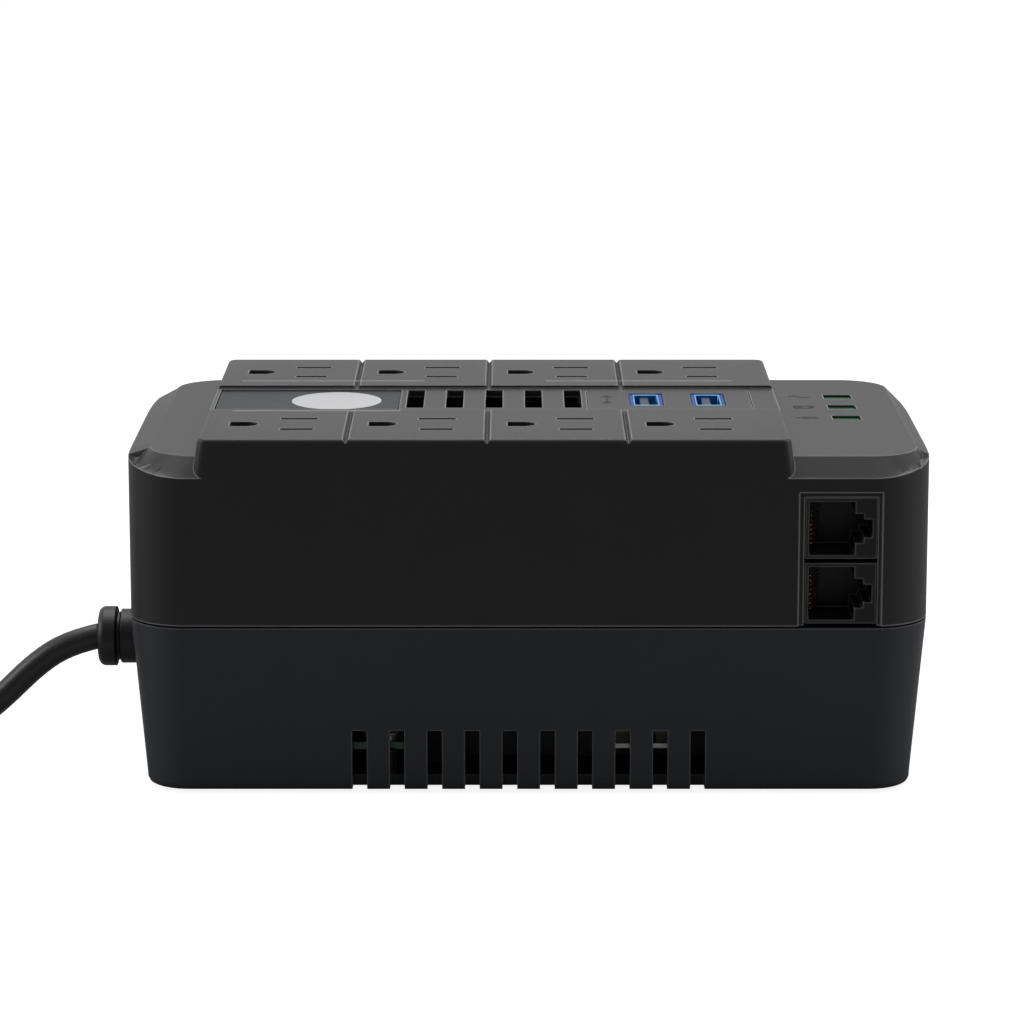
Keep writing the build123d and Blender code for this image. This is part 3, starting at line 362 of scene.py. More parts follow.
# Brass darkened as painted shade, for the bars inside the shell.
SHADED_BRASS = Finish(
    "shaded_brass", (0.07, 0.05, 0.025), (0.05, 0.035, 0.018), 0.5, Grain.BRUSHED, 0.3 * MM,
    0.004 * MM, 1.0,
)
GUIDE = Finish(
    "green_guide", (0.003, 0.050, 0.018), (0.004, 0.070, 0.026), 0.35, Grain.SMOOTH, 1.0 * MM,
    0.003 * MM, glow=0.12, specular=0.3,
)
LAMP = Finish("green_lamp", (0.06, 0.70, 0.22), (0.08, 0.80, 0.30), 0.3, Grain.SMOOTH, glow=0.6)
JACK = Finish(
    "jack_black", (0.0050, 0.0050, 0.0054), (0.0068, 0.0068, 0.0072), 0.40, Grain.SPARK, 0.25 * MM,
    0.006 * MM, edge_highlight=0.5, specular=0.34,
)
GOLD = Finish(
    "gold_wire", (0.80, 0.55, 0.20), (0.72, 0.48, 0.16), 0.26, Grain.BRUSHED, 0.2 * MM, 0.002 * MM, 1.0,
)
# The white tray inside is coloured near black: painted shade inside the shell.
SHADED_TRAY = Finish(
    "tray_painted_shade", (0.012, 0.012, 0.012), (0.018, 0.018, 0.017), 0.5, Grain.SPARK, 0.4 * MM, 0.01 * MM,
)
BRASS = Finish(
    "contact_brass", (0.60, 0.42, 0.18), (0.50, 0.33, 0.13), 0.36, Grain.BRUSHED, 0.3 * MM, 0.004 * MM,
    1.0,
)
BATTERY = Finish(
    "battery_case", (0.055, 0.060, 0.065), (0.075, 0.080, 0.085), 0.5, Grain.SPARK, 0.5 * MM, 0.02 * MM,
)
WIRE = Finish(
    "wire_insulation", (0.42, 0.02, 0.015), (0.50, 0.03, 0.02), 0.35, Grain.SMOOTH, 1 * MM, 0.004 * MM,
)
LAMINATION = Finish(
    "lamination_steel", (0.16, 0.14, 0.13), (0.22, 0.19, 0.17), 0.42, Grain.LAMINATED, 0.5 * MM,
    0.08 * MM, 0.7,
)
COIL_TAPE = Finish(
    "coil_tape", (0.62, 0.42, 0.05), (0.70, 0.50, 0.08), 0.32, Grain.LAMINATED, 6 * MM, 0.05 * MM,
    coat=0.5,
)
RELAY = Finish(
    "relay_case", (0.01, 0.07, 0.30), (0.015, 0.09, 0.36), 0.35, Grain.SMOOTH, 2 * MM, 0.004 * MM,
)
SLEEVE = Finish(
    "capacitor_sleeve", (0.01, 0.01, 0.035), (0.015, 0.015, 0.05), 0.3, Grain.SMOOTH, 2 * MM,
    0.004 * MM,
)
SINK = Finish(
    "sink_aluminium", (0.62, 0.63, 0.65), (0.55, 0.56, 0.58), 0.38, Grain.BRUSHED, 0.3 * MM, 0.006 * MM,
    1.0,
)
MOULDED = Finish("component_black", (0.015, 0.015, 0.015), (0.022, 0.022, 0.022), 0.5, Grain.SPARK)
BUTTON = Finish(
    "button_grey", (0.07, 0.07, 0.075), (0.085, 0.085, 0.09), 0.42, Grain.SPARK, 0.3 * MM, 0.008 * MM,
    edge_highlight=0.3,
)
RESET = Finish(
    "button_red", (0.42, 0.012, 0.010), (0.50, 0.018, 0.014), 0.34, Grain.SMOOTH, 1 * MM, 0.003 * MM,
)

SLOT_FINISHES: dict[str, Finish] = {
    "lower_shell_black": LOWER_BLACK, "upper_shell_black": UPPER_BLACK, "black_rubber": RUBBER,
    "cord_jacket": SHEATH, "tie_band": BAND, "zinc_steel": ZINC, "label_gloss": LABEL, "bezel_black": BEZEL,
    "usb_blue": USB_DEEP, "bright_steel": NICKEL, "circuit_board": BOARD, "green_guide": GUIDE,
    "green_lamp": LAMP, "jack_black": JACK, "gold_wire": GOLD, "tray_white": SHADED_TRAY, "contact_brass": BRASS,
    "battery_case": BATTERY, "wire_insulation": WIRE, "lamination_steel": LAMINATION, "coil_tape": COIL_TAPE,
    "relay_case": RELAY, "capacitor_sleeve": SLEEVE, "sink_aluminium": SINK, "component_black": MOULDED,
    "button_grey": BUTTON, "button_red": RESET,
}


# ================================================================ mesh tools
def new_piece(
    name: str, mesh: bpy.types.Mesh, finish: Finish, body: str = "base",
) -> bpy.types.Object:
    """Put a finished mesh into the scene as a piece of the object.

    Args:
        name: Piece name.
        mesh: Mesh with its place in its vertices.
        finish: Finish of its first material slot.
        body: The body it rides on.

    Returns:
        The new object, riding on its body.
    """
    piece = bpy.data.objects.new(name, mesh)
    bpy.context.scene.collection.objects.link(piece)
    if not mesh.materials:
        mesh.materials.append(finish.material())
    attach(piece, body)
    LOG.info("piece %s: %d faces, on %s", name, len(mesh.polygons), body)
    return piece


def smooth(mesh: bpy.types.Mesh, degrees: float = 32.0) -> None:
    """Shade smooth, with edges past an angle kept sharp."""
    mesh.shade_smooth()
    mesh.set_sharp_from_angle(angle=math.radians(degrees))


def mesh_from(name: str, work: bmesh.types.BMesh) -> bpy.types.Mesh:
    """Turn a bmesh into a mesh and free it.

    Args:
        name: Mesh name.
        work: The bmesh.

    Returns:
        The new mesh.
    """
    bmesh.ops.recalc_face_normals(work, faces=work.faces)
    mesh = bpy.data.meshes.new(name)
    work.to_mesh(mesh)
    work.free()
    smooth(mesh)
    return mesh


def add_prism(work: bmesh.types.BMesh, outline: Sequence[Flat], z0: float, z1: float) -> None:
    """Add a prism over a flat outline.

    Args:
        work: The bmesh to add to.
        outline: Corners in X and Y, in order.
        z0: Height of the bottom.
        z1: Height of the top.
    """
    low = [work.verts.new((x, y, z0)) for x, y in outline]
    high = [work.verts.new((x, y, z1)) for x, y in outline]
    work.faces.new(low[::-1])
    work.faces.new(high)
    for i in range(len(outline)):
        j = (i + 1) % len(outline)
        work.faces.new((low[i], low[j], high[j], high[i]))


def add_box(work: bmesh.types.BMesh, low: Point, high: Point) -> None:
    """Add a box between two corners."""
    outline = [(low[0], low[1]), (high[0], low[1]), (high[0], high[1]), (low[0], high[1])]
    add_prism(work, outline, low[2], high[2])


def ellipse(centre: Flat, half_x: float, half_y: float, steps: int = 72) -> list[Flat]:
    """Corners of an ellipse.

    Args:
        centre: Middle in X and Y.
        half_x: Half its width.
        half_y: Half its depth.
        steps: Number of corners.

    Returns:
        The corners, in order.
    """
    turns = [2 * math.pi * i / steps for i in range(steps)]
    return [(centre[0] + half_x * math.cos(t), centre[1] + half_y * math.sin(t)) for t in turns]


def bevelled(piece: bpy.types.Object, width: float) -> bpy.types.Object:
    """Round a piece's sharp edges with a live Bevel modifier.

    Args:
        piece: The piece.
        width: Width of the round, in metres.

    Returns:
        The same piece.
    """
    bevel = piece.modifiers.new("edge_round", "BEVEL")
    bevel.width = width
    bevel.segments = 2
    bevel.limit_method = "ANGLE"
    bevel.angle_limit = math.radians(30.0)
    return piece


def merged_copy(node: str) -> bpy.types.Mesh:
    """Copy a frame node's mesh with its doubles merged and its flat faces joined.

    Args:
        node: Node name.

    Returns:
        The clean copy.
    """
    work = bmesh.new()
    work.from_mesh(bpy.data.objects[node].data)
    bmesh.ops.remove_doubles(work, verts=work.verts, dist=0.002 * MM)
    bmesh.ops.dissolve_limit(
        work, angle_limit=math.radians(0.4), verts=work.verts, edges=work.edges, delimit={"NORMAL"}
    )
    mesh = bpy.data.meshes.new(f"{node}_finished")
    work.to_mesh(mesh)
    work.free()
    for name in ("custom_normal", "sharp_edge", "sharp_face"):
        extra = mesh.attributes.get(name)
        if extra is not None:
            mesh.attributes.remove(extra)
    smooth(mesh)
    return mesh


def refine_node(
    node: str, finish: Finish, width: float, body: str = "base",
) -> bpy.types.Object:
    """Stand a rounded copy in for a frame node.

    Args:
        node: Node name.
        finish: Its finish.
        width: Width of its edge rounds, in metres.
        body: The body it rides on.

    Returns:
        The new piece.
    """
    mesh = merged_copy(node)
    mesh.materials.clear()
    piece = new_piece(f"{node}_finished", mesh, finish, body)
    bevelled(piece, width)
    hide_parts(node)
    return piece


def nurbs_tube(
    name: str, points: Sequence[Point], radius: float, ring_steps: int, run_steps: int,
) -> bpy.types.Curve:
    """A round tube along a smooth curve that starts and ends on its end points.

    Args:
        name: Name of the curve.
        points: Control points, in metres.
        radius: Radius of the tube.
        ring_steps: Steps of a quarter of its section.
        run_steps: Steps between two control points.

    Returns:
        The curve, with closed ends.
    """
    curve = bpy.data.curves.new(name, "CURVE")
    curve.dimensions = "3D"
    curve.bevel_depth = radius
    curve.bevel_resolution = ring_steps
    curve.resolution_u = run_steps
    curve.use_fill_caps = True
    spline = curve.splines.new("NURBS")
    spline.points.add(len(points) - 1)
    for target, point in zip(spline.points, points):
        target.co = (*point, 1.0)
    spline.order_u = 3
    spline.use_endpoint_u = True
    return curve


def wire(tree: bpy.types.NodeTree, *rows: tuple[bpy.types.Node, str, bpy.types.Node, str | int]) -> None:
    """Join sockets, one row for each link: a node and its output, a node and its input."""
    for source, output, target, place in rows:
        tree.links.new(source.outputs[output], target.inputs[place])


# ================================================================ Geometry Nodes
@dataclass
class LineRepeat:
    """A Geometry Nodes tree that repeats one piece along a straight line."""

    name: str
    finish: Finish
    tree: bpy.types.NodeTree = field(init=False)

    def __post_init__(self) -> None:
        """Build the tree: line, instances, real meshes, material."""
        self.tree = bpy.data.node_groups.new(self.name, "GeometryNodeTree")
        face = self.tree.interface
        face.new_socket("Geometry", in_out="INPUT", socket_type="NodeSocketGeometry")
        for label, kind in (("Count", "Int"), ("Start", "Vector"), ("Step", "Vector")):
            face.new_socket(label, in_out="INPUT", socket_type=f"NodeSocket{kind}")
        face.new_socket("Geometry", in_out="OUTPUT", socket_type="NodeSocketGeometry")
        nodes = self.tree.nodes
        given = nodes.new("NodeGroupInput")
        line = nodes.new("GeometryNodeMeshLine")
        place = nodes.new("GeometryNodeInstanceOnPoints")
        real = nodes.new("GeometryNodeRealizeInstances")
        dress = nodes.new("GeometryNodeSetMaterial")
        result = nodes.new("NodeGroupOutput")
        dress.inputs["Material"].default_value = self.finish.material()
        wire(
            self.tree,
            (given, "Count", line, "Count"), (given, "Start", line, "Start Location"),
            (given, "Step", line, "Offset"), (line, "Mesh", place, "Points"),
            (given, "Geometry", place, "Instance"), (place, "Instances", real, "Geometry"),
            (real, "Geometry", dress, "Geometry"), (dress, "Geometry", result, "Geometry"),
        )

    def make(self, seed: bpy.types.Mesh, count: int, start: Point, step: Point) -> bpy.types.Mesh:
        """Repeat a mesh and return the plain result.

        Args:
            seed: The mesh that is repeated, about the origin.
            count: Number of copies.
            start: Place of the first.
            step: Offset from one to the next.

        Returns:
            One plain mesh.
        """
        holder = bpy.data.objects.new(f"{self.name}_seed", seed)
        bpy.context.scene.collection.objects.link(holder)
        modifier = holder.modifiers.new("repeat", "NODES")
        modifier.node_group = self.tree
        values = {"Count": count, "Start": start, "Step": step}
        for item in self.tree.interface.items_tree:
            if item.in_out == "INPUT" and item.name in values:
                modifier[item.identifier] = values[item.name]
        mesh = evaluated_mesh(holder)
        holder.modifiers.remove(modifier)
        bpy.data.objects.remove(holder)
        smooth(mesh)
        return mesh


def evaluated_mesh(holder: bpy.types.Object) -> bpy.types.Mesh:
    """Plain mesh of an object with its modifiers applied.

    Args:
        holder: The object.

    Returns:
        A new mesh.
    """
    bpy.context.view_layer.update()
    graph = bpy.context.evaluated_depsgraph_get()
    return bpy.data.meshes.new_from_object(holder.evaluated_get(graph), depsgraph=graph)


# ================================================================ sub-assemblies
@dataclass
class Housing:
    """The two outer shells, with their light-catching edges.

    Attributes:
        foot_reach: How far in from the widest point the bevel's foot lies.
        top_reach: How far in from the widest point the bevel's top lies.
        long_edge: Edges longer than this are cut into steps.
        corner: Size of the corners, where the rims keep their height.
        side_steps: Cuts along each long edge.
        side_rise: How far the bevel's foot is lifted halfway along a side.
        front_ease: Depth over which the lift starts, from the front.
        back_ease: Depth over which it ends, towards the back.
        near: How close two heights are to count as one.
        draft: Lean of the lower shell's walls, in degrees.
        upright_share: Share of that lean which the front and back lose.
        wall_reach: Depth of the band behind each end wall that moves with it.
    """

    upper_round: float = 0.22 * MM
    lower_round: float = 0.28 * MM
    rim_height: float = 4.2 * MM
    foot_reach: float = 1.0 * MM
    top_reach: float = 6.0 * MM
    long_edge: float = 20.0 * MM
    corner: float = 13.0 * MM
    side_steps: int = 12
    side_rise: float = 3.3 * MM
    front_ease: float = 18.0 * MM
    back_ease: float = 48.0 * MM
    near: float = 0.05 * MM
    draft: float = 5.0
    upright_share: float = 0.9
    wall_reach: float = 9.5 * MM

    def build(self) -> None:
        """Stand rounded shells in for the two housings."""
        upper = refine_node("upper_housing", UPPER_BLACK, self.upper_round)
        self.raise_side_rims(upper.data)
        lower = refine_node("lower_housing", LOWER_BLACK, self.lower_round)
        self.square_ends(lower.data)

    def raise_side_rims(self, mesh: bpy.types.Mesh) -> None:
        """Lift the foot of the shoulders' bevel along both sides, and ease it down towards the back.

        Args:
            mesh: The upper shell's mesh, which is changed in place.
        """
        low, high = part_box("upper_housing")
        top = high.z - SHOULDER_DROP
        foot = top - self.rim_height
        side = high.x - self.corner
        work = bmesh.new()
        work.from_mesh(mesh)
        for height, reach in ((foot, self.foot_reach), (top, self.top_reach)):
            long_edges = [
                edge for edge in work.edges
                if edge.calc_length() > self.long_edge
                and all(abs(v.co.z - height) < self.near and abs(v.co.x) > high.x - reach for v in edge.verts)
            ]
            bmesh.ops.subdivide_edges(work, edges=long_edges, cuts=self.side_steps)
        self.strip_rims(work, foot, top)
        for vertex in work.verts:
            x, y, z = vertex.co
            if abs(z - foot) < self.near and abs(x) > side:
                front = min((y - low.y) / self.front_ease, 1.0)
                back = min((high.y - y) / self.back_ease, 1.0)
                rise = math.sin(front * math.pi / 2) * math.sin(back * math.pi / 2)
                vertex.co.z = z + self.side_rise * rise
        work.to_mesh(mesh)
        work.free()

    def strip_rims(self, work: bmesh.types.BMesh, foot: float, top: float) -> None:
        """Turn each long side facet of the bevel into a strip of four-sided faces.

        Args:
            work: The upper shell, which is changed in place.
            foot: Height of the facet's lower edge.
            top: Height of its upper edge.
        """
        for face in list(work.faces):
            lower, upper = (
                sorted((v for v in face.verts if abs(v.co.z - height) < self.near), key=lambda v: v.co.y)
                for height in (foot, top)
            )
            whole = len(lower) + len(upper) == len(face.verts)
            if whole and len(lower) == len(upper) == self.side_steps + 2:
                work.faces.remove(face)
                for i in range(len(lower) - 1):
                    work.faces.new((lower[i], lower[i + 1], upper[i + 1], upper[i]))
        bmesh.ops.recalc_face_normals(work, faces=work.faces)

    def square_ends(self, mesh: bpy.types.Mesh) -> None:
        """Stand the lower shell's front and back nearly upright, as its two sides alone lean in.

        Args:
            mesh: The lower shell's mesh, which is changed in place.
        """
        low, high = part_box("lower_housing")
        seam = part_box("upper_housing")[0].z
        lean = math.tan(math.radians(self.draft)) * self.upright_share
        for vertex in mesh.vertices:
            x, y, z = vertex.co
            if abs(y) > high.y - self.wall_reach and z < seam:
                moved = abs(y) + (seam - z) * lean
                vertex.co.y = math.copysign(min(moved, high.y), y)


@dataclass
class DeckPrint:
    """Flat printed marks on the deck: thin lines and a blank badge."""

    thickness: float = 0.03 * MM
    line_width: float = 0.42 * MM
    badge_half: Flat = (10.2 * MM, 11.2 * MM)
    badge_centre: Flat = (-43.6 * MM, 0.6 * MM)
    front_line_y: float = -18.0 * MM
    back_line_y: float = 21.4 * MM
    front_spans: tuple[Flat, ...] = ((-66.0 * MM, -28.6 * MM),)
    back_spans: tuple[Flat, ...] = ((-66.5 * MM, -24.0 * MM), (4.2 * MM, 47.6 * MM))

    def build(self) -> None:
        """Make the lines and the badge."""
        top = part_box("upper_housing")[1].z
        half = self.line_width / 2
        lines = bmesh.new()
        for y, spans in ((self.front_line_y, self.front_spans), (self.back_line_y, self.back_spans)):
            for x0, x1 in spans:
                add_box(lines, (x0, y - half, top), (x1, y + half, top + self.thickness))
        new_piece("deck_lines", mesh_from("deck_lines", lines), PRINT)
        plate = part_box("label_plate")[1].z
        badge = bmesh.new()
        add_prism(badge, ellipse(self.badge_centre, *self.badge_half), plate, plate + self.thickness)
        new_piece("blank_badge", mesh_from("blank_badge", badge), BADGE)


@dataclass
class StatusSymbols:
    """Small engraved symbols beside the status lights: a plug, a battery and a wave.

    Attributes:
        gap: Space between a light guide and its symbol.
        plug_body: Width and depth of the plug's body.
        plug_arm: Length of its cord and of its prongs.
        prong_shift: Place of a prong to either side.
        cell: Width and depth of the battery's outline.
        cell_end: How far the outline's ends lie in from its width.
        stud: Place and depth of its stud.
        fill: Place, width and depth of its filled cell.
    """

    thickness: float = 0.04 * MM
    stroke: float = 0.75 * MM
    gap: float = 3.4 * MM
    size: float = 5.0 * MM
    plug_body: Flat = (1.8 * MM, 2.6 * MM)
    plug_arm: float = 1.6 * MM
    prong_shift: float = 0.8 * MM
    cell: Flat = (4.0 * MM, 2.6 * MM)
    cell_end: float = 0.1 * MM
    stud: Flat = (2.4 * MM, 1.1 * MM)
    fill: Point = (-0.8 * MM, 1.1 * MM, 1.6 * MM)
    wave_height: float = 1.1 * MM
    wave_steps: int = 20

    def build(self) -> None:
        """Make one symbol beside each light guide."""
        makers: dict[str, Callable[[bmesh.types.BMesh, float, float, float], None]] = {
            "back": self.wave, "middle": self.battery, "front": self.plug,
        }
        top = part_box("upper_housing")[1].z - SHOULDER_DROP
        work = bmesh.new()
        for place, maker in makers.items():
            low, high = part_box(f"led_guide_{place}")
            maker(work, low.x - self.gap - self.size / 2, (low.y + high.y) / 2, top)
        new_piece("status_symbols", mesh_from("status_symbols", work), ENGRAVED)

    def bar(self, work: bmesh.types.BMesh, x: float, y: float, dx: float, dy: float, z: float) -> None:
        """Add one stroke: a flat bar about a middle point."""
        add_box(work, (x - dx / 2, y - dy / 2, z), (x + dx / 2, y + dy / 2, z + self.thickness))

    def plug(self, work: bmesh.types.BMesh, x: float, y: float, z: float) -> None:
        """A plug: a cord, a body and two prongs."""
        reach = (self.plug_body[0] + self.plug_arm) / 2
        self.bar(work, x - reach, y, self.plug_arm, self.stroke, z)
        self.bar(work, x, y, *self.plug_body, z)
        for side in (-1, 1):
            self.bar(work, x + reach, y + side * self.prong_shift, self.plug_arm, self.stroke, z)

    def battery(self, work: bmesh.types.BMesh, x: float, y: float, z: float) -> None:
        """A battery: an outline, a stud and one filled cell."""
        width, depth = self.cell
        for side in (-1, 1):
            self.bar(work, x, y + side * depth / 2, width, self.stroke, z)
            self.bar(work, x + side * (width / 2 - self.cell_end), y, self.stroke, depth, z)
        self.bar(work, x + self.stud[0], y, self.stroke, self.stud[1], z)
        self.bar(work, x + self.fill[0], y, *self.fill[1:], z)

    def wave(self, work: bmesh.types.BMesh, x: float, y: float, z: float) -> None:
        """One cycle of an alternating wave, as a ribbon."""
        half = self.stroke / 2
        line = []
        for i in range(self.wave_steps + 1):
            share = i / self.wave_steps
            line.append((x + (share - 0.5) * self.size, y + self.wave_height * math.sin(2 * math.pi * share)))
        for (x0, y0), (x1, y1) in zip(line, line[1:]):
            step = [(x0, y0 - half), (x1, y1 - half), (x1, y1 + half), (x0, y0 + half)]
            add_prism(work, step, z, z + self.thickness)


@dataclass
class ChargingSockets:
    """The two blue charging sockets: moulded body, tongue, pads and folded liner.

    Attributes:
        pad_size: Thickness, width and length of a pad.
        pad_sunk: Depth of the pads' upper ends under the top face.
        tongue_half: Half the tongue's thickness and half its width.
        tongue_shift: Place of the tongue, to the right of the middle.
        tongue_sunk: Depth under the top face of the sheet of painted shade on the tongue's end.
        shade_sheet: Thickness of that sheet.
        mark: Thickness of the charging symbol.
        stem: Half width of its lead, and its two ends.
        arrow: Half width of its arrow, and its two ends.
        bulb: Place and radius of the round end.
    """

    sides: tuple[str, str] = ("left", "right")
    pad_count: int = 4
    pad_pitch: float = 2.5 * MM
    pad_size: Point = (0.25 * MM, 1.1 * MM, 4.0 * MM)
    pad_sunk: float = 1.0 * MM
    tongue_half: Flat = (0.95 * MM, 5.6 * MM)
    tongue_shift: float = -0.4 * MM
    tongue_sunk: float = 0.5 * MM
    shade_sheet: float = 0.12 * MM
    mark: float = 0.03 * MM
    symbol_x: float = 18.0 * MM
    stem: Point = (0.3 * MM, -4.0 * MM, 2.6 * MM)
    arrow: Point = (1.4 * MM, 2.4 * MM, 5.4 * MM)
    bulb: Flat = (-4.4 * MM, 1.1 * MM)

    def build(self) -> None:
        """Dress the bezel and build both sockets."""
        refine_node("usb_bezel", BEZEL, 0.2 * MM)
        repeat = LineRepeat("contact_pads", GOLD)
        for side in self.sides:
            refine_node(f"usb_shell_{side}", SOCKET_STEEL, 0.08 * MM)
            refine_node(f"usb_insert_{side}", USB_DEEP, 0.12 * MM)
            self.tongue_shade_sheet(side)
            self.pads(side, repeat)
        self.symbol()

    def place(self, side: str) -> Point:
        """Middle of a socket in X and Y, and the height of its top face.

        Args:
            side: left or right.

        Returns:
            X, Y and top Z.
        """
        low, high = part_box(f"usb_insert_{side}")
        return (low.x + high.x) / 2, (low.y + high.y) / 2, high.z

    def tongue_shade_sheet(self, side: str) -> None:
        """A thin dark blue sheet on the tongue's end, painted shade inside the socket."""
        x, y, top = self.place(side)
        half_x, half_y = self.tongue_half
        middle = x + self.tongue_shift
        z = top - self.tongue_sunk
        work = bmesh.new()
        add_box(work, (middle - half_x, y - half_y, z), (middle + half_x, y + half_y, z + self.shade_sheet))
        cap = new_piece(f"usb_tongue_{side}", mesh_from(f"usb_tongue_{side}", work), TONGUE_SHADE)
        bevelled(cap, 0.08 * MM)

    def pads(self, side: str, repeat: LineRepeat) -> None:
        """Gold pads along the tongue's right face.

        Args:
            side: left or right.
            repeat: The tree that repeats them.
        """
        x, y, top = self.place(side)
        thickness, width, length = self.pad_size
        seed = bmesh.new()
        add_box(seed, (0.0, -width / 2, -length), (thickness, width / 2, 0.0))
        start_y = y - self.pad_pitch * (self.pad_count - 1) / 2
        start = (x + self.tongue_shift + self.tongue_half[0], start_y, top - self.pad_sunk)
        mesh = repeat.make(mesh_from("pad", seed), self.pad_count, start, (0.0, self.pad_pitch, 0.0))
        new_piece(f"usb_pads_{side}", mesh, GOLD)

    def symbol(self) -> None:
        """A plain charging symbol beside the sockets: a lead that ends in an arrow."""
        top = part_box("usb_bezel")[1].z
        y = self.place("left")[1]
        x = self.symbol_x
        face = top + self.mark
        half, low, high = self.stem
        work = bmesh.new()
        add_box(work, (x - half, y + low, top), (x + half, y + high, face))
        half, low, high = self.arrow
        add_prism(work, [(x - half, y + low), (x + half, y + low), (x, y + high)], top, face)
        shift, radius = self.bulb
        add_prism(work, ellipse((x, y + shift), radius, radius, 24), top, face)
        new_piece("charging_symbol", mesh_from("charging_symbol", work), ENGRAVED)


@dataclass
class Jacks:
    """The two modular jacks with their sprung wires.

    Attributes:
        wire_route: A wire's run inwards from the mouth's left wall, in millimetres, in X and Y.
    """

    wire_count: int = 8
    wire_pitch: float = 1.02 * MM
    wire_radius: float = 0.22 * MM
    wire_route: tuple[Flat, ...] = ((0.25, 0.3), (0.55, 0.5), (1.3, 2.6), (2.2, 5.2), (2.6, 7.2))

    def build(self) -> None:
        """Dress both jacks and make their wires."""
        repeat = LineRepeat("contact_wires", GOLD)
        seed = self.wire_seed()
        for place in ("lower", "upper"):
            refine_node(f"jack_housing_{place}", JACK, 0.18 * MM)
            low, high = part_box(f"jack_contacts_{place}")
            middle = (low.z + high.z) / 2
            start = (low.x, low.y, middle - self.wire_pitch * (self.wire_count - 1) / 2)
            mesh = repeat.make(seed.copy(), self.wire_count, start, (0.0, 0.0, self.wire_pitch))
            wires = new_piece(f"jack_wires_{place}", mesh, GOLD)
            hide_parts(f"jack_contacts_{place}")

    def wire_seed(self) -> bpy.types.Mesh:
        """One bent wire from the mouth's left wall inwards.

        Returns:
            A tube mesh about the origin.
        """
        points = [(x * MM, y * MM, 0.0) for x, y in self.wire_route]
        holder = bpy.data.objects.new("wire", nurbs_tube("wire", points, self.wire_radius, 2, 4))
        bpy.context.scene.collection.objects.link(holder)
        mesh = evaluated_mesh(holder)
        bpy.data.objects.remove(holder)
        mesh.materials.clear()
        return mesh


@dataclass
class Cord:
    """The mains lead: its free run, its put-away coil, its tail, and what is on it.

    Attributes:
        across: Turns that lie beside each other.
        coil_radius: Radius of the outermost turn, at the cord's middle.
        turn_pitch: Step from one turn to the next beside it.
        climb_points: Control points over which the cord climbs to the upper layer.
        rib_first: Place of the first rib, from the plug's back end.
        rib_inset: How far a rib stops short of the plug's edges.
        rib_root: How deep a rib is rooted.
        rib_proud: How far it stands out.
        free_route: The cord's points from its exit to the coil, in millimetres.
        tail_route: Its points from the coil to the plug, in millimetres.
    """

    diameter: float = 5.8 * MM
    length: float = 1.42
    turns: float = 6.0
    across: int = 3
    coil_radius: float = 39.0 * MM
    turn_pitch: float = 6.0 * MM
    coil_centre: Flat = (-186.0 * MM, 9.5 * MM)
    points_per_turn: int = 16
    climb_points: int = 5
    rib_count: int = 5
    rib_pitch: float = 3.2 * MM
    rib_first: float = 19.0 * MM
    rib_width: float = 1.2 * MM
    rib_inset: float = 5.0 * MM
    rib_root: float = 0.5 * MM
    rib_proud: float = 0.35 * MM
    free_route: tuple[Point, ...] = (
        (-96.4, -22.0, 28.4), (-103.0, -22.1, 26.9), (-110.6, -22.5, 22.2), (-119.5, -23.4, 13.4),
        (-129.4, -25.0, 6.4), (-142.4, -27.4, 3.4), (-157.0, -29.0, 2.95), (-172.0, -29.6, 2.95),
    )
    tail_route: tuple[Point, ...] = (
        (-200.8, -29.8, 8.3), (-215.5, -29.3, 6.7), (-228.5, -23.9, 5.4),
        (-238.4, -14.0, 5.6), (-243.8, -1.0, 8.0), (-245.0, 17.0, 12.0),
    )

    def coil_points(self) -> list[Point]:
        """Control points of the coil: inwards on the floor layer, then outwards on top of it.

        Returns:
            Points in metres, in the order the cord passes them.
        """
        total = round(self.turns * self.points_per_turn)
        half = total / 2
        swell = 1.0 / (0.5 + 0.5 * math.cos(math.pi / self.points_per_turn))
        points = []
        for i in range(total + 1):
            turn = i / self.points_per_turn
            angle = -math.pi / 2 - 2 * math.pi * turn
            share = i / half if i <= half else 2 - i / half
            depth = min(max(share, 0.0), 1.0) * (self.across - 1) * self.turn_pitch
            rise = min(max((i - half) / self.climb_points + 0.5, 0.0), 1.0)
            radius = (self.coil_radius - depth) * swell
            z = self.diameter / 2 + rise * self.diameter
            x = self.coil_centre[0] + radius * math.cos(angle)
            y = self.coil_centre[1] + radius * math.sin(angle)
            points.append((x, y, z))
        return points

    def build(self) -> None:
        """Make the cord and dress the pieces on it."""
        free = [tuple(v * MM for v in point) for point in self.free_route]
        tail = [tuple(v * MM for v in point) for point in self.tail_route]
        points = free + self.coil_points() + tail
        curve = nurbs_tube("mains_cord", points, self.diameter / 2, 6, 5)
        curve.materials.append(SHEATH.material())
        cord = bpy.data.objects.new("mains_cord", curve)
        bpy.context.scene.collection.objects.link(cord)
        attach(cord, "base")
        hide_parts("power_cord", "cord_coil", "cord_tail")
        relief = refine_node("strain_relief", RUBBER, 0.25 * MM)
        plug = refine_node("plug_body", RUBBER, 0.2 * MM)
        blades = refine_node("plug_blades", BRASS, 0.25 * MM)
        ribs = self.plug_ribs()

    def plug_ribs(self) -> bpy.types.Object:
        """Finger ribs across the plug's two broad sides.

        Returns:
            The piece.
        """
        low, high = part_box("plug_body")
        seed = bmesh.new()
        for x, outward in ((low.x, -1), (high.x, 1)):
            ends = sorted((x - outward * self.rib_root, x + outward * self.rib_proud))
            add_box(
                seed,
                (ends[0], -self.rib_width / 2, low.z + self.rib_inset),
                (ends[1], self.rib_width / 2, high.z - self.rib_inset),
            )
        start = (0.0, high.y - self.rib_first, 0.0)
        mesh = LineRepeat("finger_ribs", RUBBER).make(
            mesh_from("rib", seed), self.rib_count, start, (0.0, self.rib_pitch, 0.0)
        )
        piece = new_piece("plug_ribs", mesh, RUBBER)
        return bevelled(piece, 0.2 * MM)


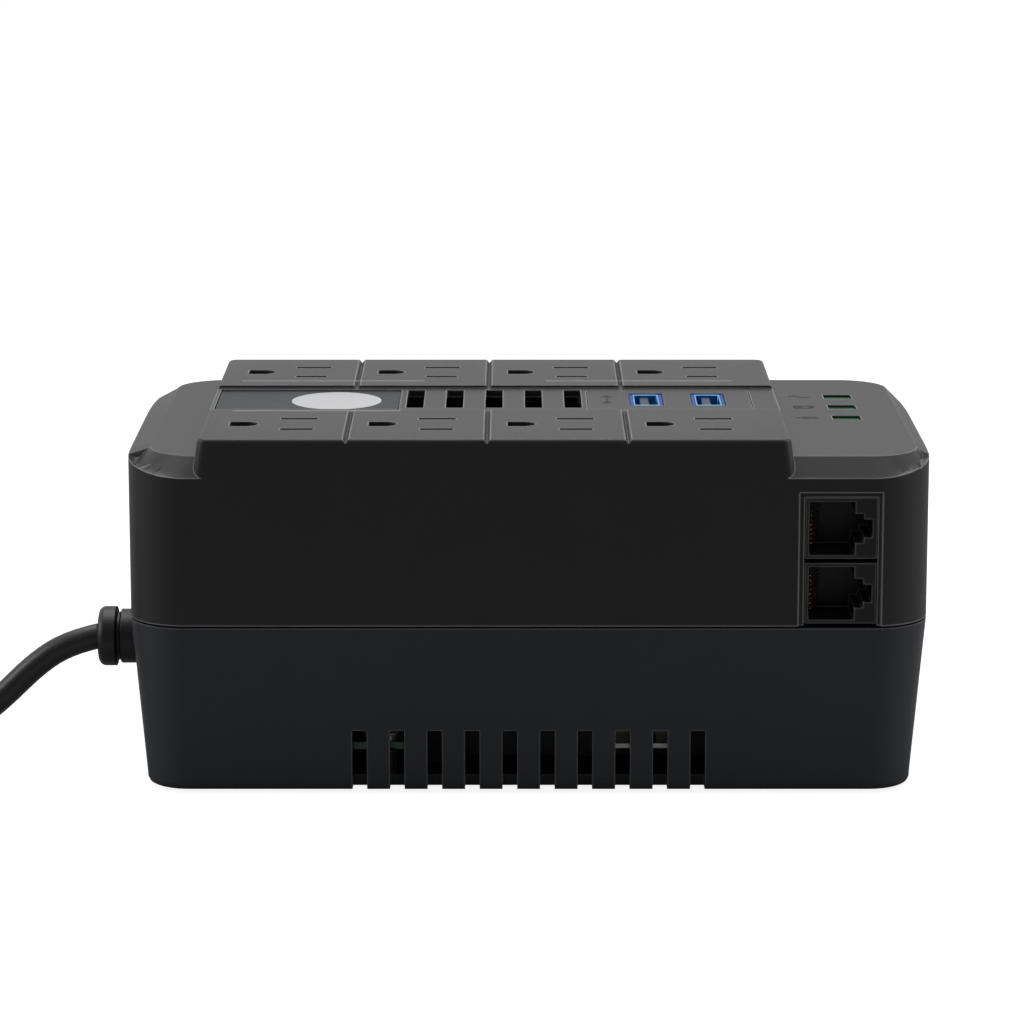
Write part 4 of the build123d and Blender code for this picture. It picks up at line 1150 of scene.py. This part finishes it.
@dataclass
class SmallTrim:
    """Label plate, light guides, buttons, nut and feet."""

    rounds: dict[str, float] = field(
        default_factory=lambda: {
            "label_plate": 0.12 * MM, "led_guide_front": 0.15 * MM, "led_guide_middle": 0.15 * MM,
            "led_guide_back": 0.15 * MM, "breaker_nut": 0.25 * MM, "rubber_feet": 0.2 * MM,
        }
    )

    def build(self) -> None:
        """Stand rounded copies in for the small outer pieces."""
        slots = node_slots()
        for node, width in self.rounds.items():
            slot = slots[node]
            refine_node(node, SLOT_FINISHES[slot], width)
        refine_node("power_button", BUTTON, 0.2 * MM, "power_button")
        refine_node("breaker_button", RESET, 0.2 * MM, "reset_button")


def node_slots() -> dict[str, str]:
    """Each node's material slot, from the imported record."""
    return {row["node"]: row["material_slot"] for row in FRAME["record"]["subparts"]}


def dress_nodes() -> None:
    """Give every frame node that still shows its procedural finish."""
    slots = node_slots()
    for name, node in FRAME["nodes"].items():
        # Bars inside the shell get brass with painted shade.
        finish = (SHADED_BRASS if name.endswith("_bar") else SLOT_FINISHES[slots[name]]).material()
        if not node.material_slots:
            node.data.materials.append(finish)
        for place in node.material_slots:
            place.material = finish


# ================================================================ studio
@dataclass
class Studio:
    """Camera, floor, lamps and world.

    Attributes:
        lens: Focal length, in millimetres.
        pitch_down: How far it looks down, in degrees.
        floor_sunk: Depth of the floor under the feet.
        floor_grey: Base colour of the floor.
        floor_glow: Light that the floor adds for the camera alone.
        lamp_power: Power of the top lamp, in watts.
        side_share: Share of it that each side lamp has.
        soft_light: Strength of the world's even light.
        world_from: Direction in Y from which the reflected world brightens.
        world_full: Direction in Y past which it is white.
        world_dim: Its strength in front.
    """

    lens: float = 144.1
    camera_place: Point = (-3.65 * MM, -919.5 * MM, 241.0 * MM)
    pitch_down: float = 11.6
    floor_size: float = 6.0
    floor_sunk: float = 0.05 * MM
    floor_grey: float = 0.30
    floor_glow: float = 0.88
    lamp_power: float = 9.0
    side_share: float = 0.35
    soft_light: float = 0.42
    world_from: float = -0.9
    world_full: float = 0.35
    world_dim: float = 0.16

    def build(self) -> None:
        """Set the whole studio up."""
        scene = bpy.context.scene
        scene.view_settings.view_transform = "Standard"
        self.camera(scene)
        self.floor()
        self.world(scene)
        self.lamp("top_softbox", (0.0, 0.25, 1.0), (0.0, 0.02, 0.05), (1.0, 0.8), self.lamp_power)
        for side, x in (("left", -0.9), ("right", 0.9)):
            power = self.lamp_power * self.side_share
            self.lamp(f"{side}_softbox", (x, -0.1, 0.45), (0.0, 0.0, 0.04), (0.5, 0.6), power)

    def camera(self, scene: bpy.types.Scene) -> None:
        """Place the camera."""
        data = bpy.data.cameras.new("camera")
        data.lens = self.lens
        data.sensor_width = 36.0
        data.clip_start = 0.01
        camera = bpy.data.objects.new("camera", data)
        camera.location = self.camera_place
        camera.rotation_euler = (math.radians(90.0 - self.pitch_down), 0.0, 0.0)
        scene.collection.objects.link(camera)
        scene.camera = camera

    def floor(self) -> None:
        """Lay a pale floor that keeps a soft shadow."""
        half = self.floor_size / 2
        work = bmesh.new()
        around = ((-half, -half), (half, -half), (half, half), (-half, half))
        work.faces.new([work.verts.new((x, y, -self.floor_sunk)) for x, y in around])
        mesh = mesh_from("floor", work)
        floor = bpy.data.objects.new("floor", mesh)
        bpy.context.scene.collection.objects.link(floor)
        made = bpy.data.materials.new("pale_floor")
        made.use_nodes = True
        tree = made.node_tree
        shader = tree.nodes["Principled BSDF"]
        shader.inputs["Base Color"].default_value = (*(self.floor_grey,) * 3, 1.0)
        shader.inputs["Roughness"].default_value = 0.9
        shader.inputs["Specular IOR Level"].default_value = 0.1
        glow = tree.nodes.new("ShaderNodeEmission")
        rays = tree.nodes.new("ShaderNodeLightPath")
        seen = tree.nodes.new("ShaderNodeMath")
        seen.operation = "MULTIPLY"
        seen.inputs[1].default_value = self.floor_glow
        both = tree.nodes.new("ShaderNodeAddShader")
        wire(
            tree,
            (rays, "Is Camera Ray", seen, 0), (seen, "Value", glow, "Strength"), (shader, "BSDF", both, 0),
            (glow, "Emission", both, 1), (both, "Shader", tree.nodes["Material Output"], "Surface"),
        )
        mesh.materials.append(made)

    def world(self, scene: bpy.types.Scene) -> None:
        """White to the eye and to reflections from behind, dim from the front, soft elsewhere."""
        world = bpy.data.worlds.new("studio")
        scene.world = world
        world.use_nodes = True
        tree = world.node_tree
        tree.nodes.clear()
        add = tree.nodes.new
        output = add("ShaderNodeOutputWorld")
        seen = add("ShaderNodeBackground")
        soft = add("ShaderNodeBackground")
        soft.inputs["Strength"].default_value = self.soft_light
        rays = add("ShaderNodeLightPath")
        where = add("ShaderNodeTexCoord")
        apart = add("ShaderNodeSeparateXYZ")
        depth = add("ShaderNodeMapRange")
        depth.inputs["From Min"].default_value = self.world_from
        depth.inputs["From Max"].default_value = self.world_full
        depth.inputs["To Min"].default_value = self.world_dim
        level, glass, plain = (add("ShaderNodeMath") for _ in range(3))
        for either in (level, glass, plain):
            either.operation = "MAXIMUM"
        mix = add("ShaderNodeMixShader")
        wire(
            tree,
            (where, "Generated", apart, "Vector"), (apart, "Y", depth, "Value"), (depth, "Result", level, 0),
            (rays, "Is Camera Ray", level, 1), (level, "Value", seen, "Strength"),
            (rays, "Is Glossy Ray", glass, 0), (rays, "Is Transmission Ray", glass, 1),
            (rays, "Is Camera Ray", plain, 0), (glass, "Value", plain, 1), (plain, "Value", mix, "Fac"),
            (soft, "Background", mix, 1), (seen, "Background", mix, 2), (mix, "Shader", output, "Surface"),
        )

    def lamp(self, name: str, place: Point, target: Point, size: tuple[float, float], power: float) -> None:
        """Hang one soft area lamp.

        Args:
            name: Lamp name.
            place: Where it hangs.
            target: What it faces.
            size: Its two sides, in metres.
            power: Its power, in watts.
        """
        data = bpy.data.lights.new(name, "AREA")
        data.shape = "RECTANGLE"
        data.size, data.size_y = size
        data.energy = power
        lamp = bpy.data.objects.new(name, data)
        lamp.location = place
        lamp.rotation_euler = (Vector(target) - Vector(place)).to_track_quat("-Z", "Y").to_euler()
        bpy.context.scene.collection.objects.link(lamp)


def main() -> None:
    """Build every class in order."""
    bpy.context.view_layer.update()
    Studio().build()
    dress_nodes()
    for part in (Cord(), Housing(), SmallTrim(), DeckPrint(), StatusSymbols(), ChargingSockets(), Jacks()):
        LOG.info("building %s", type(part).__name__)
        part.build()


if __name__ == "__main__":
    logging.basicConfig(level=logging.INFO, format="%(name)s: %(message)s")
    main()
